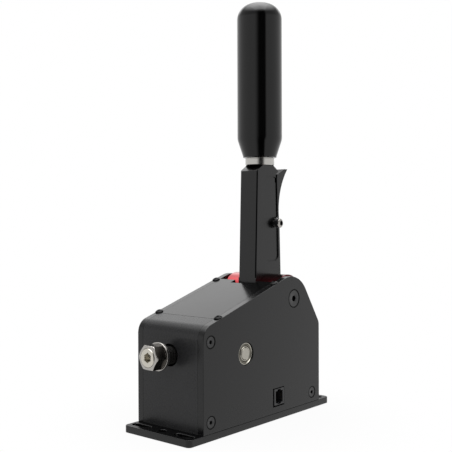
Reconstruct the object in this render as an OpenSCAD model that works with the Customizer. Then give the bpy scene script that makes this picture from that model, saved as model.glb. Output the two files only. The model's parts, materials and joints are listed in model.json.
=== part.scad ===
// Sim racing handbrake: an upright lever with a grip and a finger trigger on a closed box of plates.
// Millimetres. X runs across, -Y faces the driver, +Z is up. The origin is the middle of the underside.

/* [Housing] */
// Outer width over both side plates
housing_w = 74; // [70:1:90]
// Length of the side plates, front to back
housing_l = 162; // [156:1:176]
// Thickness of each side plate
side_t = 6; // [5:0.5:8]
// Height of the front edge before the slope starts
front_h = 89.5; // [86:0.5:100]
// Angle of the sloped top
slope = 17; // [15:0.5:19]
// Height of the rear edge before it slants forward
rear_h = 79; // [74:0.5:82]
// Angle of the slanted rear edge
rear_slant = 56.5; // [54:0.5:60]
// Corner radius where the front meets the slope
front_r = 12; // [8:0.5:13]
// Radius of the rounded apex over the axle
apex_r = 28; // [22:0.5:30]
// Corner radius where the rear meets the slant
rear_r = 8; // [2:0.5:12]
// Depth of the front block that both side plates screw onto
block_d = 19.8; // [18:0.2:24]
// Wall of the front block behind its face
block_wall = 8; // [6:0.5:10]
// Height of the lower bar of the front block
block_foot_h = 28; // [20:0.5:32]
// Thickness of the sloped top cover
cover_t = 3; // [2:0.5:4]
// Distance from the axle forward to the cover's upper edge
cover_setback = 23.5; // [21:0.5:28]
// Depth of the notch in the cover's upper edge
notch_d = 6; // [5:0.5:9]
// Thickness of the rear panel
rear_t = 5; // [3:0.5:7]
// Front to back size of the rear cross bar
rear_bar_d = 14; // [13:0.5:18]
// Height of the rear cross bar
rear_bar_h = 18; // [17.5:0.5:24]
// Gap left between plates that butt against each other
seam = 0.15; // [0.1:0.05:0.5]

/* [Base plate] */
// Thickness of the base plate
base_t = 6; // [5:0.5:10]
// How far the base reaches past the housing at each end
flange_l = 16.5; // [15:0.5:24]
// Corner radius of the base plate
base_r = 4; // [2:0.5:8]
// Length of each mounting slot, end to end
slot_l = 20; // [12:0.5:22]
// Width of each mounting slot
slot_w = 6.6; // [5.5:0.1:8.5]
// Distance between the slot centres across the base
slot_pitch = 48; // [44:0.5:50]
// Diameter of the middle hole in each flange
middle_hole_d = 6.6; // [4.5:0.1:8.5]

/* [Axle and hub] */
// Distance of the axle behind the middle of the housing
axle_y = 41; // [38:0.5:44]
// Depth of the axle below the sloped top, straight down
axle_drop = 22.8; // [22:0.2:26]
// Diameter of the axle
axle_d = 16; // [14:0.5:18]
// Outer diameter of the hub cheeks
hub_d = 42.5; // [40:0.5:43]
// Outer diameter of the bronze bushes
bush_d = 20; // [19:0.5:22]
// Radius of the hub bolt circle
hub_bolt_r = 15; // [14.5:0.25:15.5]
// Thickness of the thrust washers
thrust_t = 0.5; // [0.3:0.1:1]
// Diameter of the thrust washers
thrust_d = 27; // [22:0.5:32]

/* [Lever] */
// Width of the lever bar, across
lever_w = 20; // [19:0.5:22]
// Depth of the lever bar at the axle
lever_foot_d = 40; // [38:0.5:41]
// Depth of the lever bar at its top
lever_top_d = 32.4; // [31:0.2:34]
// Height of the lever's top over the axle
lever_h = 121; // [116:1:150]
// Distance of the lever's middle in front of the axle
lever_setback = 2; // [1:0.25:3]
// Bevel of the lever's long edges
lever_bevel = 1; // [0.5:0.1:1.5]
// Width of the flat on the lever's top
top_flat = 15.2; // [13:0.2:18]
// Angle of the two bevels beside that flat
top_bevel = 33.5; // [28:0.5:38]
// Depth of the shallow pocket in each side of the lever
pocket_t = 2.2; // [1.5:0.1:2.6]
// Front to back width of that pocket at its top
pocket_d = 22; // [18:0.5:24]
// Rim left behind the pocket
pocket_rim = 3.6; // [3.2:0.1:3.8]
// Distance of the pocket's upper end under the lever's top
pocket_top = 10.5; // [9:0.5:13]
// Length of the pocket
pocket_l = 77.5; // [72:0.5:80]
// Distance from the axle down to the tail pin
tail_l = 43.3; // [41:0.1:46]
// Diameter of the tail pin
tail_pin_d = 8; // [7:0.5:9]
// Width of the fork in the lever's tail
fork_w = 11; // [10.6:0.1:12]

/* [Grip] */
// Diameter of the grip
grip_d = 41.2; // [36:0.2:44]
// Length of the grip
grip_l = 141.8; // [120:0.2:160]
// Diameter of the grip's lower lip
grip_lip_d = 31; // [28:0.5:34]
// Height of the taper above that lip
grip_taper_h = 15.5; // [12:0.5:20]
// Radius of the soft shoulder where the taper meets the grip
grip_shoulder_r = 14; // [6:0.5:18]
// Radius of the grip's rounded top
grip_top_r = 15; // [10:0.5:16]
// Diameter of the steel collar under the grip
collar_d = 26.6; // [25:0.2:29]
// Height of that collar
collar_h = 7; // [5:0.5:10]
// Diameter of the stud inside the grip
stud_d = 10; // [8:0.5:10]

/* [Finger trigger] */
// Distance of the trigger's pivot under the lever's top
trigger_drop = 53.5; // [52:0.5:55]
// Distance of the trigger's pivot behind the lever's middle
trigger_back = 11.6; // [11:0.2:12.2]
// How far the trigger's tip stands behind the lever
trigger_reach = 13.4; // [10:0.2:16]
// Width of the trigger's stem inside the lever
trigger_stem_w = 8; // [7:0.2:8.6]
// Angle that the trigger turns when squeezed
trigger_turn = 1.8; // [1.2:0.1:2]
// Diameter of the trigger screw in the lever
trigger_screw_d = 5; // [4:0.1:5.4]
// Diameter of the trigger screw's head
trigger_head_d = 8.4; // [7.8:0.1:9]
// Wire diameter of the trigger's torsion spring
trigger_wire_d = 1.1; // [1:0.05:1.2]
// Outer diameter of that torsion spring
trigger_spring_d = 9; // [8.8:0.1:9.4]

/* [Pull rod and spring] */
// Distance of the swivel shaft in front of the middle of the housing
swivel_y = -27.7; // [-30:0.1:-25]
// Depth of the swivel shaft below the axle
swivel_drop = 40.5; // [39.5:0.1:41.5]
// Diameter of the swivel shaft in its bearings
swivel_d = 10; // [8:0.5:10]
// Outer diameter of the swivel bearings
bearing_d = 19; // [18:0.5:22]
// Width of the swivel bearings
bearing_w = 5; // [4:0.5:5]
// Diameter of the pull rod in the swivel block
rod_d = 12; // [10:0.5:12]
// Diameter of the pull rod's threaded front
thread_d = 15; // [14:0.5:15.5]
// Thickness of the rubber buffer behind the travel washer
bump_t = 1.4; // [1:0.1:4]
// Stroke left between that buffer and the front block
stroke = 10.2; // [10.2:0.2:14]
// Diameter of the travel washer
washer_d = 23; // [20:0.5:28]
// Thickness of the travel washer
washer_t = 2.2; // [2:0.1:3]
// Width across flats of the travel nut
nut_af = 19; // [18:0.5:22]
// Thickness of the travel nut
nut_t = 10.8; // [7:0.1:11]
// How far the rod's end stands out of the travel nut
rod_end = 0.4; // [0.3:0.1:4]
// Wire diameter of the main spring
spring_wire_d = 3.2; // [2.6:0.1:3.4]
// Mean diameter of the main spring
spring_mean_d = 20; // [18.4:0.2:21]
// Number of curls of the main spring
spring_turns = 4.5; // [4:0.25:4.75]

/* [Screws and port] */
// Diameter of the side and base screws
side_screw_d = 5; // [4:0.5:5]
// Head diameter of the side and base screws
side_head_d = 10; // [9:0.5:11]
// Diameter of the two axle screws
axle_screw_d = 8; // [6:0.5:8]
// Head diameter of the two axle screws
axle_head_d = 16; // [14:0.5:17]
// Height of the lower side screws over the base plate
low_screw_lift = 9; // [8.5:0.1:10]
// Distance of the upper side screws below the front edge's height
high_screw_drop = 10.9; // [10:0.1:12]
// Diameter of the cover screws
cover_screw_d = 4; // [3:0.5:4]
// Head diameter of the cover screws
cover_head_d = 7; // [6.4:0.1:7.4]
// Head height of the cover screws
cover_head_h = 2; // [1.6:0.1:2.4]
// Width of the data port's cut-out
port_w = 15.8; // [14:0.1:18]
// Height of the data port's cut-out
port_h = 16; // [15:0.1:18]
// Distance of the data port's middle behind the middle of the housing
port_y = 17.4; // [15:0.1:20]
// Height of the data port's lower edge over the base plate
port_lift = 5.7; // [5:0.1:8]

/* [Hidden] */
$fn = 64;
run = 0.05;        // radial play of a running fit
press = 0.01;      // radial play of a press fit or a screw in its thread
play = 0.1;        // gap between fixed neighbours
eps = 0.02;        // overlap of a cut past the face that it starts from
swell = 0.002;     // how far a corner's arc bulges past its tangent points
deep = 2 * max(housing_l, lever_h); // length of a cut that goes right through

half_w = housing_w / 2;
inner = half_w - side_t;
front_y = -housing_l / 2;
rear_y = housing_l / 2;
base_l = housing_l + 2 * flange_l;
slope_run = tan(slope);
function slope_z(y) = front_h + (y - front_y) * slope_run;

axle_z = slope_z(axle_y) - axle_drop;
hub_r = hub_d / 2;
cheek_in = lever_w / 2 + run;
cheek_out = inner - thrust_t - 2 * run;

lever_y = axle_y - lever_setback;
lever_top = axle_z + lever_h;
function lever_half(z) = (lever_foot_d + (lever_top_d - lever_foot_d) * (z - axle_z) / lever_h) / 2;
lever_lean = atan((lever_foot_d - lever_top_d) / 2 / lever_h);
tail_w = 2 * (tail_pin_d / 2 + 6);

swivel_z = axle_z - swivel_drop;
tail_z = axle_z - tail_l;
rod_tilt = atan((swivel_z - tail_z) / (axle_y - swivel_y));
rod_l = norm([axle_y - swivel_y, swivel_z - tail_z]);
panel_s = (swivel_y - front_y) / cos(rod_tilt);
swivel_half_y = 11;
swivel_half_z = 14;
swivel_half_x = 18;
seat_t = 4;
buffer_t = 2;
buffer_d = 26;
stop_s = panel_s + bump_t + stroke;
seat_front_s = panel_s - block_wall - buffer_t - 0.4;
spring_len = seat_front_s - seat_t - swivel_half_y;

trigger_y = lever_y + trigger_back;
trigger_z = lever_top - trigger_drop;
trigger_boss_r = 4.6;
stud_in = 26;
pad_low = trigger_z + 5;
pad_top = lever_top - 2.7;
spring_x0 = lever_w / 2 + trigger_wire_d / 2 + play;
spring_pitch = trigger_wire_d + 0.25;
spring_curls = 2;
spring_leg_turn = 60;
spring_x1 = spring_x0 + spring_pitch * (spring_curls + spring_leg_turn / 360);
head_x = spring_x1 + trigger_wire_d / 2 + 0.15;
trigger_head_h = 2.2;
trigger_shoulder_d = trigger_spring_d - 2 * trigger_wire_d - 1.2;
spring_r = (trigger_spring_d - trigger_wire_d) / 2;
spring_foot = [trigger_y - spring_r, trigger_z - 2.4];
spring_foot_l = 2.6;

block_rear_y = front_y + block_d;
side_screw_y = front_y + block_d / 2 - 0.9;
rear_bar_y = rear_y - rear_t - rear_bar_d / 2;
high_screw_z = front_h - high_screw_drop;
low_screw_z = base_t + low_screw_lift;
rear_screw_z = low_screw_z + side_screw_d / 2 + cover_screw_d / 2 + 0.7;
side_screw_l = side_t + 2.8 * side_screw_d;
axle_screw_l = side_t + 1.9 * axle_screw_d;
base_screw_l = base_t + 2.4 * side_screw_d;
stud_out = 0.28 * grip_l;
base_screw_x = 11;
cover_screw_x = inner + side_t / 2 - 0.6;
ear_out = cover_screw_x + cover_screw_d / 2 + 0.5;
cover_low_u = (block_d + seam) / cos(slope);
cover_top_u = (axle_y - cover_setback - front_y) / cos(slope);
ear_half = cover_head_d / 2 - 0.3;
cover_screw_u = [cover_low_u + 1.9, cover_top_u - 2.3];
board_top = base_t + port_lift;
board_t = 1.6;

// Outlines with exact round corners

function unit(v) = v / norm(v);
function cut_back(p, q, r) = let (d1 = unit(p[0] - q), d2 = unit(p[1] - q), a = acos(d1 * d2) / 2)
    [q + d1 * r / tan(a), q + d2 * r / tan(a), q + unit(d1 + d2) * r / sin(a)];

// A convex outline from corners [x, y, radius]
module rounded_outline(corners) {
    n = len(corners);
    cuts = [for (i = [0:n - 1])
        let (q = corners[i], a = corners[(i + n - 1) % n], b = corners[(i + 1) % n])
        q[2] > 0 ? cut_back([[a[0], a[1]], [b[0], b[1]]], [q[0], q[1]], q[2])
                 : [[q[0], q[1]], [q[0], q[1]], [q[0], q[1]]]];
    polygon([for (i = [0:n - 1]) each (corners[i][2] > 0 ? [cuts[i][0], cuts[i][1]] : [cuts[i][0]])]);
    for (i = [0:n - 1]) if (corners[i][2] > 0) translate(cuts[i][2]) circle(corners[i][2] + swell);
}

// Stands an outline drawn in Y and Z up and draws it out along X
module across(x0, x1) translate([x0, 0, 0]) rotate([90, 0, 90]) linear_extrude(x1 - x0) children();
module rod_x(d, x0, x1) translate([x0, 0, 0]) rotate([0, 90, 0]) cylinder(d = d, h = x1 - x0);
module rod_y(d, y0, y1) translate([0, y0, 0]) rotate([-90, 0, 0]) cylinder(d = d, h = y1 - y0);
module ring_x(d, bore, x0, x1) difference() { rod_x(d, x0, x1); rod_x(bore, x0 - eps, x1 + eps); }
module box(x, y, z) translate([x[0], y[0], z[0]]) cube([x[1] - x[0], y[1] - y[0], z[1] - z[0]]);
module hexagon(af, h) cylinder(d = af / cos(30), h = h, $fn = 6);

// Places: on the outside of a side plate, on the slope, on the rod and on the axle
module on_right(y, z) translate([half_w, y, z]) rotate([0, 90, 0]) children();
module on_left(y, z) translate([-half_w, y, z]) rotate([0, -90, 0]) children();
module on_slope() translate([0, front_y, front_h]) rotate([slope, 0, 0]) children();
module on_rod() translate([0, swivel_y, swivel_z]) rotate([-rod_tilt, 0, 0]) children();
module on_axle() translate([0, axle_y, axle_z]) children();

// Screws, drawn with the head's top at zero and the shank going down

module countersunk_screw(d, head_d, l, socket) difference() {
    rotate_extrude() polygon([[0, 0], [head_d / 2, 0], [d / 2, (d - head_d) / 2], [d / 2, -l], [0, -l]]);
    translate([0, 0, -head_d / 5]) hexagon(socket, head_d / 2);
}
module countersunk_hole(d, head_d, l) {
    translate([0, 0, -l]) cylinder(d = d + 2 * play, h = l + 1);
    translate([0, 0, (d - head_d) / 2 - 0.5]) cylinder(d1 = d, d2 = head_d + 1, h = (head_d - d) / 2 + 0.5);
    translate([0, 0, -eps]) cylinder(d = head_d + 1, h = 1);
}
module thread_hole(d, l) translate([0, 0, -l]) cylinder(d = d + 2 * press, h = l + 1);
module button_screw(d, head_d, head_h, l, socket) difference() {
    rotate_extrude() {
        intersection() {
            square([head_d / 2, head_h]);
            translate([0, head_h - head_d * 0.72]) circle(head_d * 0.72);
        }
        translate([0, -l]) square([d / 2, l + eps]);
    }
    translate([0, 0, head_h * 0.35]) hexagon(socket, head_h);
}

// A tube along a path, all in triangles

function tangents(p) = [for (i = [0:len(p) - 1]) unit(p[min(i + 1, len(p) - 1)] - p[max(i - 1, 0)])];
function normals(t, n0) = [for (i = 0, n = unit(n0 - (n0 * t[0]) * t[0]); i < len(t); i = i + 1,
    n = i < len(t) ? unit(n - (n * t[i]) * t[i]) : n) n];
module tube(path, r, n0, sides = 6) {
    t = tangents(path);
    n = normals(t, n0);
    last = len(path) - 1;
    points = [for (i = [0:last], k = [0:sides - 1])
        path[i] + r * (cos(k * 360 / sides) * n[i] + sin(k * 360 / sides) * cross(t[i], n[i]))];
    walls = [for (i = [0:last - 1], k = [0:sides - 1]) let (a = i * sides + k, b = i * sides + (k + 1) % sides)
        each [[a, b + sides, b], [a, a + sides, b + sides]]];
    caps = [for (k = [1:sides - 2]) each [[0, k, k + 1],
        [last * sides, last * sides + k + 1, last * sides + k]]];
    polyhedron([for (q = points) q], concat(walls, caps));
}
// Least gap of a tube to itself, over points that lie more than a given number of steps apart
function self_gap(p, wire, apart) = min([for (i = [0:len(p) - 1 - apart], j = [i + apart:len(p) - 1])
    norm(p[i] - p[j])]) - wire;

// Housing

module side_outline() rounded_outline([
    [front_y, base_t, 0], [rear_y, base_t, 0], [rear_y, rear_h, rear_r],
    [apex_corner_y, slope_z(apex_corner_y), apex_r], [front_y, front_h, front_r]]);
slant_run = tan(rear_slant);
apex_corner_y = (rear_h + rear_y * slant_run - front_h + front_y * slope_run) / (slope_run + slant_run);

module base_plate() color("#303032") difference() {
    translate([0, 0, 0]) linear_extrude(base_t) rounded_outline([
        [-half_w, -base_l / 2, base_r], [half_w, -base_l / 2, base_r],
        [half_w, base_l / 2, base_r], [-half_w, base_l / 2, base_r]]);
    for (s = [-1, 1]) translate([0, s * (base_l - flange_l) / 2, -1]) {
        cylinder(d = middle_hole_d, h = base_t + 2);
        for (k = [-1, 1]) translate([k * slot_pitch / 2, 0, 0]) linear_extrude(base_t + 2) {
            square([slot_l - slot_w, slot_w], center = true);
            for (e = [-1, 1]) translate([e * (slot_l - slot_w) / 2, 0]) circle(d = slot_w);
        }
    }
    base_screw_places() countersunk_hole(side_screw_d, side_head_d, base_t);
}
module base_screw_places() for (x = [-1, 1], y = [side_screw_y, rear_bar_y])
    translate([x * base_screw_x, y, 0]) mirror([0, 0, 1]) children();

module side_plate_blank() difference() {
    across(inner, half_w) side_outline();
    right_screw_places() countersunk_hole(side_screw_d, side_head_d, side_t + 1);
    on_right(axle_y, axle_z) countersunk_hole(axle_screw_d, axle_head_d, side_t + 1);
    translate([0, swivel_y, swivel_z]) rod_x(bearing_d + 2 * press, inner - 1, half_w + 1);
    on_slope() for (u = cover_screw_u) {
        box([inner - 1, ear_out + play], [u - ear_half - play, u + ear_half + play], [-cover_t, 1]);
        translate([cover_screw_x, u, -cover_t]) thread_hole(cover_screw_d, 8);
    }
}
module right_screw_places() {
    on_right(side_screw_y, low_screw_z) children();
    on_right(side_screw_y, high_screw_z) children();
    on_right(rear_bar_y, low_screw_z) children();
}
module right_side_plate() color("#3c3c3e") difference() {
    side_plate_blank();
    box([inner - 1, half_w + 1], [port_y - port_w / 2, port_y + port_w / 2], [board_top, board_top + port_h]);
}
module left_side_plate() color("#3c3c3e") mirror([1, 0, 0]) side_plate_blank();

module front_block() color("#343436") difference() {
    across(-inner + play, inner - play) intersection() {
        side_outline();
        translate([front_y - 1, 0]) square([block_d + 1, deep]);
    }
    box([-half_w, half_w], [front_y + block_wall, block_rear_y + 1],
        [base_t + block_foot_h, high_screw_z - 9]);
    on_rod() {
        rod_y(thread_d + 3.4, -panel_s - 5, -panel_s + block_d);
        rod_y(buffer_d + 4, -panel_s + block_wall, -panel_s + block_d + 5);
    }
    for (m = [0, 1]) mirror([m, 0, 0]) {
        on_right(side_screw_y, low_screw_z) thread_hole(side_screw_d, side_screw_l + 1);
        on_right(side_screw_y, high_screw_z) thread_hole(side_screw_d, side_screw_l + 1);
        translate([base_screw_x, side_screw_y, 0]) mirror([0, 0, 1]) thread_hole(side_screw_d, base_screw_l + 1);
    }
}

module top_cover() color("#4a4a4c") on_slope() difference() {
    union() {
        box([-inner + play, inner - play], [cover_low_u, cover_top_u], [-cover_t, 0]);
        for (u = cover_screw_u) box([-ear_out, ear_out], [max(u - ear_half, cover_low_u), u + ear_half], [-cover_t, 0]);
    }
    box([-lever_w / 2 - 3, lever_w / 2 + 3], [cover_top_u - notch_d, cover_top_u + 5], [-cover_t - 1, 1]);
    for (s = [-1, 1], u = cover_screw_u) translate([s * cover_screw_x, u, -cover_t - 1])
        cylinder(d = cover_screw_d + 2 * play, h = cover_t + 2);
}

module rear_bar() color("#38383a") difference() {
    box([-inner + play, inner - play], [rear_y - rear_t - rear_bar_d, rear_y - rear_t],
        [base_t, base_t + rear_bar_h]);
    for (m = [0, 1]) mirror([m, 0, 0]) {
        on_right(rear_bar_y, low_screw_z) thread_hole(side_screw_d, side_screw_l + 1);
        translate([base_screw_x, rear_bar_y, 0]) mirror([0, 0, 1]) thread_hole(side_screw_d, base_screw_l + 1);
    }
    rear_panel_screw_places() thread_hole(cover_screw_d, rear_t + 7);
}
module rear_panel_screw_places() for (s = [-1, 1])
    translate([s * (inner - 7), rear_y, rear_screw_z]) rotate([-90, 0, 0]) children();

// The rear panel follows the side plates up the slant and ends short of the hub
slant_dir = [-cos(rear_slant), sin(rear_slant)];
slant_off = [sin(rear_slant), cos(rear_slant)];
slant_gap = (rear_y - axle_y) * slant_off[0] + (rear_h - axle_z) * slant_off[1];
hub_clear = hub_r + 1.2;
panel_inner_gap = slant_gap - rear_t;
panel_end_s = [axle_y - rear_y, axle_z - rear_h] * slant_dir - sqrt(hub_clear^2 - panel_inner_gap^2);
bend_in = rear_t * tan((90 - rear_slant) / 2);
module rear_panel() color("#38383a") difference() {
    across(-inner + play, inner - play) {
        corner = [rear_y, rear_h];
        inside = corner - [rear_t, bend_in];
        top = corner + slant_dir * panel_end_s;
        polygon([[rear_y, base_t], corner, top, top - slant_off * rear_t, inside, [rear_y - rear_t, base_t]]);
    }
    rear_panel_screw_places() translate([0, 0, -rear_t - 1])
        cylinder(d = cover_screw_d + 2 * play, h = rear_t + 2);
}

module side_screws() color("#2c2c2e") for (m = [0, 1]) mirror([m, 0, 0]) right_screw_places()
    translate([0, 0, -0.25]) countersunk_screw(side_screw_d, side_head_d, side_screw_l, 3);
module axle_screws() color("#2c2c2e") for (m = [0, 1]) mirror([m, 0, 0]) on_right(axle_y, axle_z)
    translate([0, 0, -0.25]) countersunk_screw(axle_screw_d, axle_head_d, axle_screw_l, 5);
module base_screws() color("#2c2c2e") base_screw_places()
    translate([0, 0, -0.25]) countersunk_screw(side_screw_d, side_head_d, base_screw_l, 3);
module cover_screws() color("#1c1c1e") on_slope() for (s = [-1, 1], u = cover_screw_u)
    translate([s * cover_screw_x, u, 0])
        button_screw(cover_screw_d, cover_head_d, cover_head_h, cover_t + 7, 2.5);
module rear_panel_screws() color("#1c1c1e") rear_panel_screw_places()
    button_screw(cover_screw_d, cover_head_d, cover_head_h, rear_t + 6, 2.5);

// Axle, hub and lever

module lever_axle() color("#b8b6b2") on_axle() difference() {
    rod_x(axle_d, -inner + run, inner - run);
    for (m = [0, 1]) mirror([m, 0, 0]) rod_x(axle_screw_d + 2 * press, half_w - axle_screw_l - 1, inner + 1);
}
module thrust_washers() color("#d8d4c4") on_axle() for (m = [0, 1]) mirror([m, 0, 0])
    ring_x(thrust_d, axle_d + 2 * play, inner - run - thrust_t, inner - run);
module hub_bushes() color("#a8803c") on_axle() for (m = [0, 1]) mirror([m, 0, 0])
    ring_x(bush_d, axle_d + 2 * run, cheek_in, cheek_out);

function hub_bolt_at(i) = [0, hub_bolt_r * cos(90 + 120 * i + 180), hub_bolt_r * sin(90 + 120 * i + 180)];
hub_head_d = 8.5;
hub_head_h = 5;
hub_bolt_d = 5;
module cheek_blank() difference() {
    union() {
        rod_x(hub_d, cheek_in, cheek_out - 0.8);
        translate([cheek_out - 0.8, 0, 0]) rotate([0, 90, 0])
            cylinder(d1 = hub_d, d2 = hub_d - 1.6, h = 0.8);
    }
    rod_x(bush_d + 2 * press, 0, half_w);
}
module right_hub_cheek() color("#b01820") on_axle() difference() {
    cheek_blank();
    for (i = [0:2]) translate(hub_bolt_at(i)) {
        rod_x(hub_bolt_d + 2 * play, 0, half_w);
        rod_x(hub_head_d + 2 * play, cheek_out - hub_head_h - 0.5, half_w);
    }
}
module left_hub_cheek() color("#b01820") on_axle() difference() {
    mirror([1, 0, 0]) cheek_blank();
    for (i = [0:2]) translate(hub_bolt_at(i)) rod_x(hub_bolt_d + 2 * press, -cheek_out + 3, 0);
}
module hub_bolts() color("#1c1c1e") on_axle() for (i = [0:2]) translate(hub_bolt_at(i)) difference() {
    union() {
        rod_x(hub_bolt_d, -cheek_out + 4, cheek_out - hub_head_h - 0.4);
        rod_x(hub_head_d, cheek_out - hub_head_h - 0.4, cheek_out - 0.4);
    }
    translate([cheek_out - 3, 0, 0]) rotate([0, 90, 0]) hexagon(4, hub_head_h);
}

// The lever's side view: a tapered bar with a round foot and a straight tail below the axle
module lever_outline() {
    shoulder_z = lever_top - (lever_top_d - top_flat) / 2 * tan(top_bevel);
    polygon([
        [lever_y - lever_half(axle_z), axle_z], [lever_y + lever_half(axle_z), axle_z],
        [lever_y + lever_half(shoulder_z), shoulder_z], [lever_y + top_flat / 2, lever_top],
        [lever_y - top_flat / 2, lever_top], [lever_y - lever_half(shoulder_z), shoulder_z]]);
    translate([lever_y, axle_z]) circle(d = lever_foot_d + 2 * swell);
    translate([axle_y - tail_w / 2, tail_z]) square([tail_w, tail_l]);
    translate([axle_y, tail_z]) circle(d = tail_w + 2 * swell);
}
// The trigger's two flanges lie over the lever's pockets, in line with the rims behind those pockets, and its
// web stands back from the lever by what a squeeze needs, more at the top than near the pivot
pocket_z = lever_top - pocket_top;
function rim_y(z) = lever_y + lever_half(z) - pocket_rim;
function flange_y(z) = rim_y(z) + 0.1;
function web_y(z) = flange_y(z) + 0.3 + (z - trigger_z) * 1.15 * tan(trigger_turn);
flange_in = lever_w / 2 - pocket_t + 0.2;
flange_top = pocket_z - 4.6;
slot_half = trigger_stem_w / 2 + 0.3;
stem_front = trigger_y - 2;
stem_top = lever_top - stud_in - 2.7;
squeeze_room = 1;
ledge_z = pad_top - 5.6;
switch_y = stem_front - squeeze_room - 1.2;
switch_w = 5.8;
switch_d = 6.5;
switch_h = 12.8;
switch_lift = 9;
plunger_d = 2;
plunger_lift = switch_lift + 8;
module trigger_clearance() {
    cut_y = rim_y(ledge_z) - 0.2 - (ledge_z - trigger_z) * tan(trigger_turn);
    across(-half_w, half_w) polygon([
        [rim_y(pad_low - 1.2) - 0.1, pad_low - 1.2], [lever_y + 40, pad_low - 1.2], [lever_y + 40, lever_top + 5],
        [cut_y + 7, lever_top + 5], [cut_y + 7, ledge_z + 4.7], [cut_y, ledge_z + 0.2],
        [cut_y, flange_top], [rim_y(flange_top - 1.6) - 0.1, flange_top - 1.6]]);
    translate([0, spring_foot[0], spring_foot[1]])
        rod_x(trigger_wire_d + 0.3, lever_w / 2 - pocket_t - spring_foot_l, half_w);
    translate([0, trigger_y, trigger_z]) {
        rod_x(2 * trigger_boss_r + 1, -slot_half, slot_half);
        rod_x(trigger_screw_d + 2 * press, -lever_w / 2 + 1, lever_w);
        rod_x(trigger_shoulder_d + 2 * play, lever_w / 2 - pocket_t, half_w);
    }
    box([-slot_half, slot_half], [stem_front - squeeze_room - 1.4, lever_y + 40], [trigger_z, stem_top + 1.5]);
    switch_box(play);
}
module switch_box(grow) {
    box([-switch_w / 2 - grow, switch_w / 2 + grow], [switch_y - switch_d - grow, switch_y + 2 * grow],
        [trigger_z + switch_lift - grow, trigger_z + switch_lift + switch_h + grow]);
}
module lever_pocket() {
    z1 = lever_top - pocket_top;
    z0 = z1 - pocket_l;
    rim = pocket_rim;
    across(lever_w / 2 - pocket_t, half_w) rounded_outline([
        [lever_y + lever_half(z0) - rim - pocket_d, z0, 5], [lever_y + lever_half(z0) - rim, z0, 5],
        [lever_y + lever_half(z1) - rim, z1, 5], [lever_y + lever_half(z1) - rim - pocket_d, z1, 5]]);
}
module long_edge_bevels() for (x = [-1, 1], y = [-1, 1])
    translate([x * lever_w / 2, lever_y + y * lever_half(axle_z), axle_z]) rotate([y * lever_lean, 0, 0])
        rotate([0, 0, 45]) translate([0, 0, deep / 2 + hub_r - 3])
            cube([lever_bevel * sqrt(2), lever_bevel * sqrt(2), deep], center = true);
magnet_d = 6;
magnet_t = 2;
magnet_z = tail_z + tail_pin_d / 2 + magnet_d / 2 + 2;
module lever_arm() color("#3a3a3c") difference() {
    across(-lever_w / 2, lever_w / 2) lever_outline();
    long_edge_bevels();
    for (m = [0, 1]) mirror([m, 0, 0]) lever_pocket();
    trigger_clearance();
    on_axle() {
        rod_x(axle_d + 0.8, -half_w, half_w);
        for (i = [0:2]) translate(hub_bolt_at(i)) rod_x(hub_bolt_d + 2 * play, -half_w, half_w);
    }
    box([-fork_w / 2, fork_w / 2], [axle_y - tail_w, axle_y + tail_w], [tail_z - tail_w, tail_z + tail_w / 2 + 3]);
    translate([0, axle_y, tail_z]) rod_x(tail_pin_d + 2 * press, -half_w, half_w);
    translate([0, axle_y, magnet_z]) rod_x(magnet_d + 2 * press, -half_w, -lever_w / 2 + magnet_t);
    translate([0, lever_y, lever_top - stud_in]) cylinder(d = stud_d + 2 * press, h = stud_in + 1);
}
module tail_pin() color("#b8b6b2") translate([0, axle_y, tail_z])
    rod_x(tail_pin_d, -lever_w / 2 + 0.3, lever_w / 2 - 0.3);
module sensor_magnet() color("#c8c8cc") translate([0, axle_y, magnet_z])
    rod_x(magnet_d, -lever_w / 2, -lever_w / 2 + magnet_t - press);

// Grip

grip_z = lever_top + collar_h;
module grip_collar() color("#c4c1ba") translate([0, lever_y, lever_top]) difference() {
    rotate_extrude() polygon([[stud_d / 2 + play, 0], [collar_d / 2 - 0.5, 0], [collar_d / 2, 0.5],
        [collar_d / 2, collar_h - 0.5], [collar_d / 2 - 0.5, collar_h], [stud_d / 2 + play, collar_h]]);
}
module grip_stud() color("#c4c1ba") translate([0, lever_y, lever_top - stud_in + 1])
    cylinder(d = stud_d, h = collar_h + stud_in + stud_out);
module grip() color("#2b2b2b") translate([0, lever_y, grip_z + run]) difference() {
    rotate_extrude() intersection() {
        square([grip_d, grip_l]);
        rounded_outline([[0, 0, 0], [grip_lip_d / 2, 0, 0], [grip_lip_d / 2, 1.2, 0],
            [grip_d / 2, grip_taper_h + 1.2, grip_shoulder_r], [grip_d / 2, grip_l, grip_top_r], [0, grip_l, 0]]);
    }
    translate([0, 0, -1]) cylinder(d = stud_d + 2 * press, h = stud_out + 3);
}

// Finger trigger: a pad behind the lever on a stem that turns on the trigger screw

module trigger_pad_outline() {
    tip = [lever_y + lever_half(pad_top) + trigger_reach, pad_top];
    crest = tip - [4.7, 0];
    root = [flange_y(ledge_z) + 0.7, ledge_z];
    leave_z = pad_top - 26;
    curve_r = 60;
    difference() {
        polygon([[flange_y(pad_low), pad_low], [lever_y + lever_half(pad_low), pad_low],
            [lever_y + lever_half(leave_z), leave_z], [tip[0], leave_z], tip, crest, root,
            [flange_y(ledge_z - 2.5), ledge_z - 2.5]]);
        hollow_centre(tip, [lever_y + lever_half(leave_z), leave_z], curve_r) circle(curve_r);
    }
}
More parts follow.
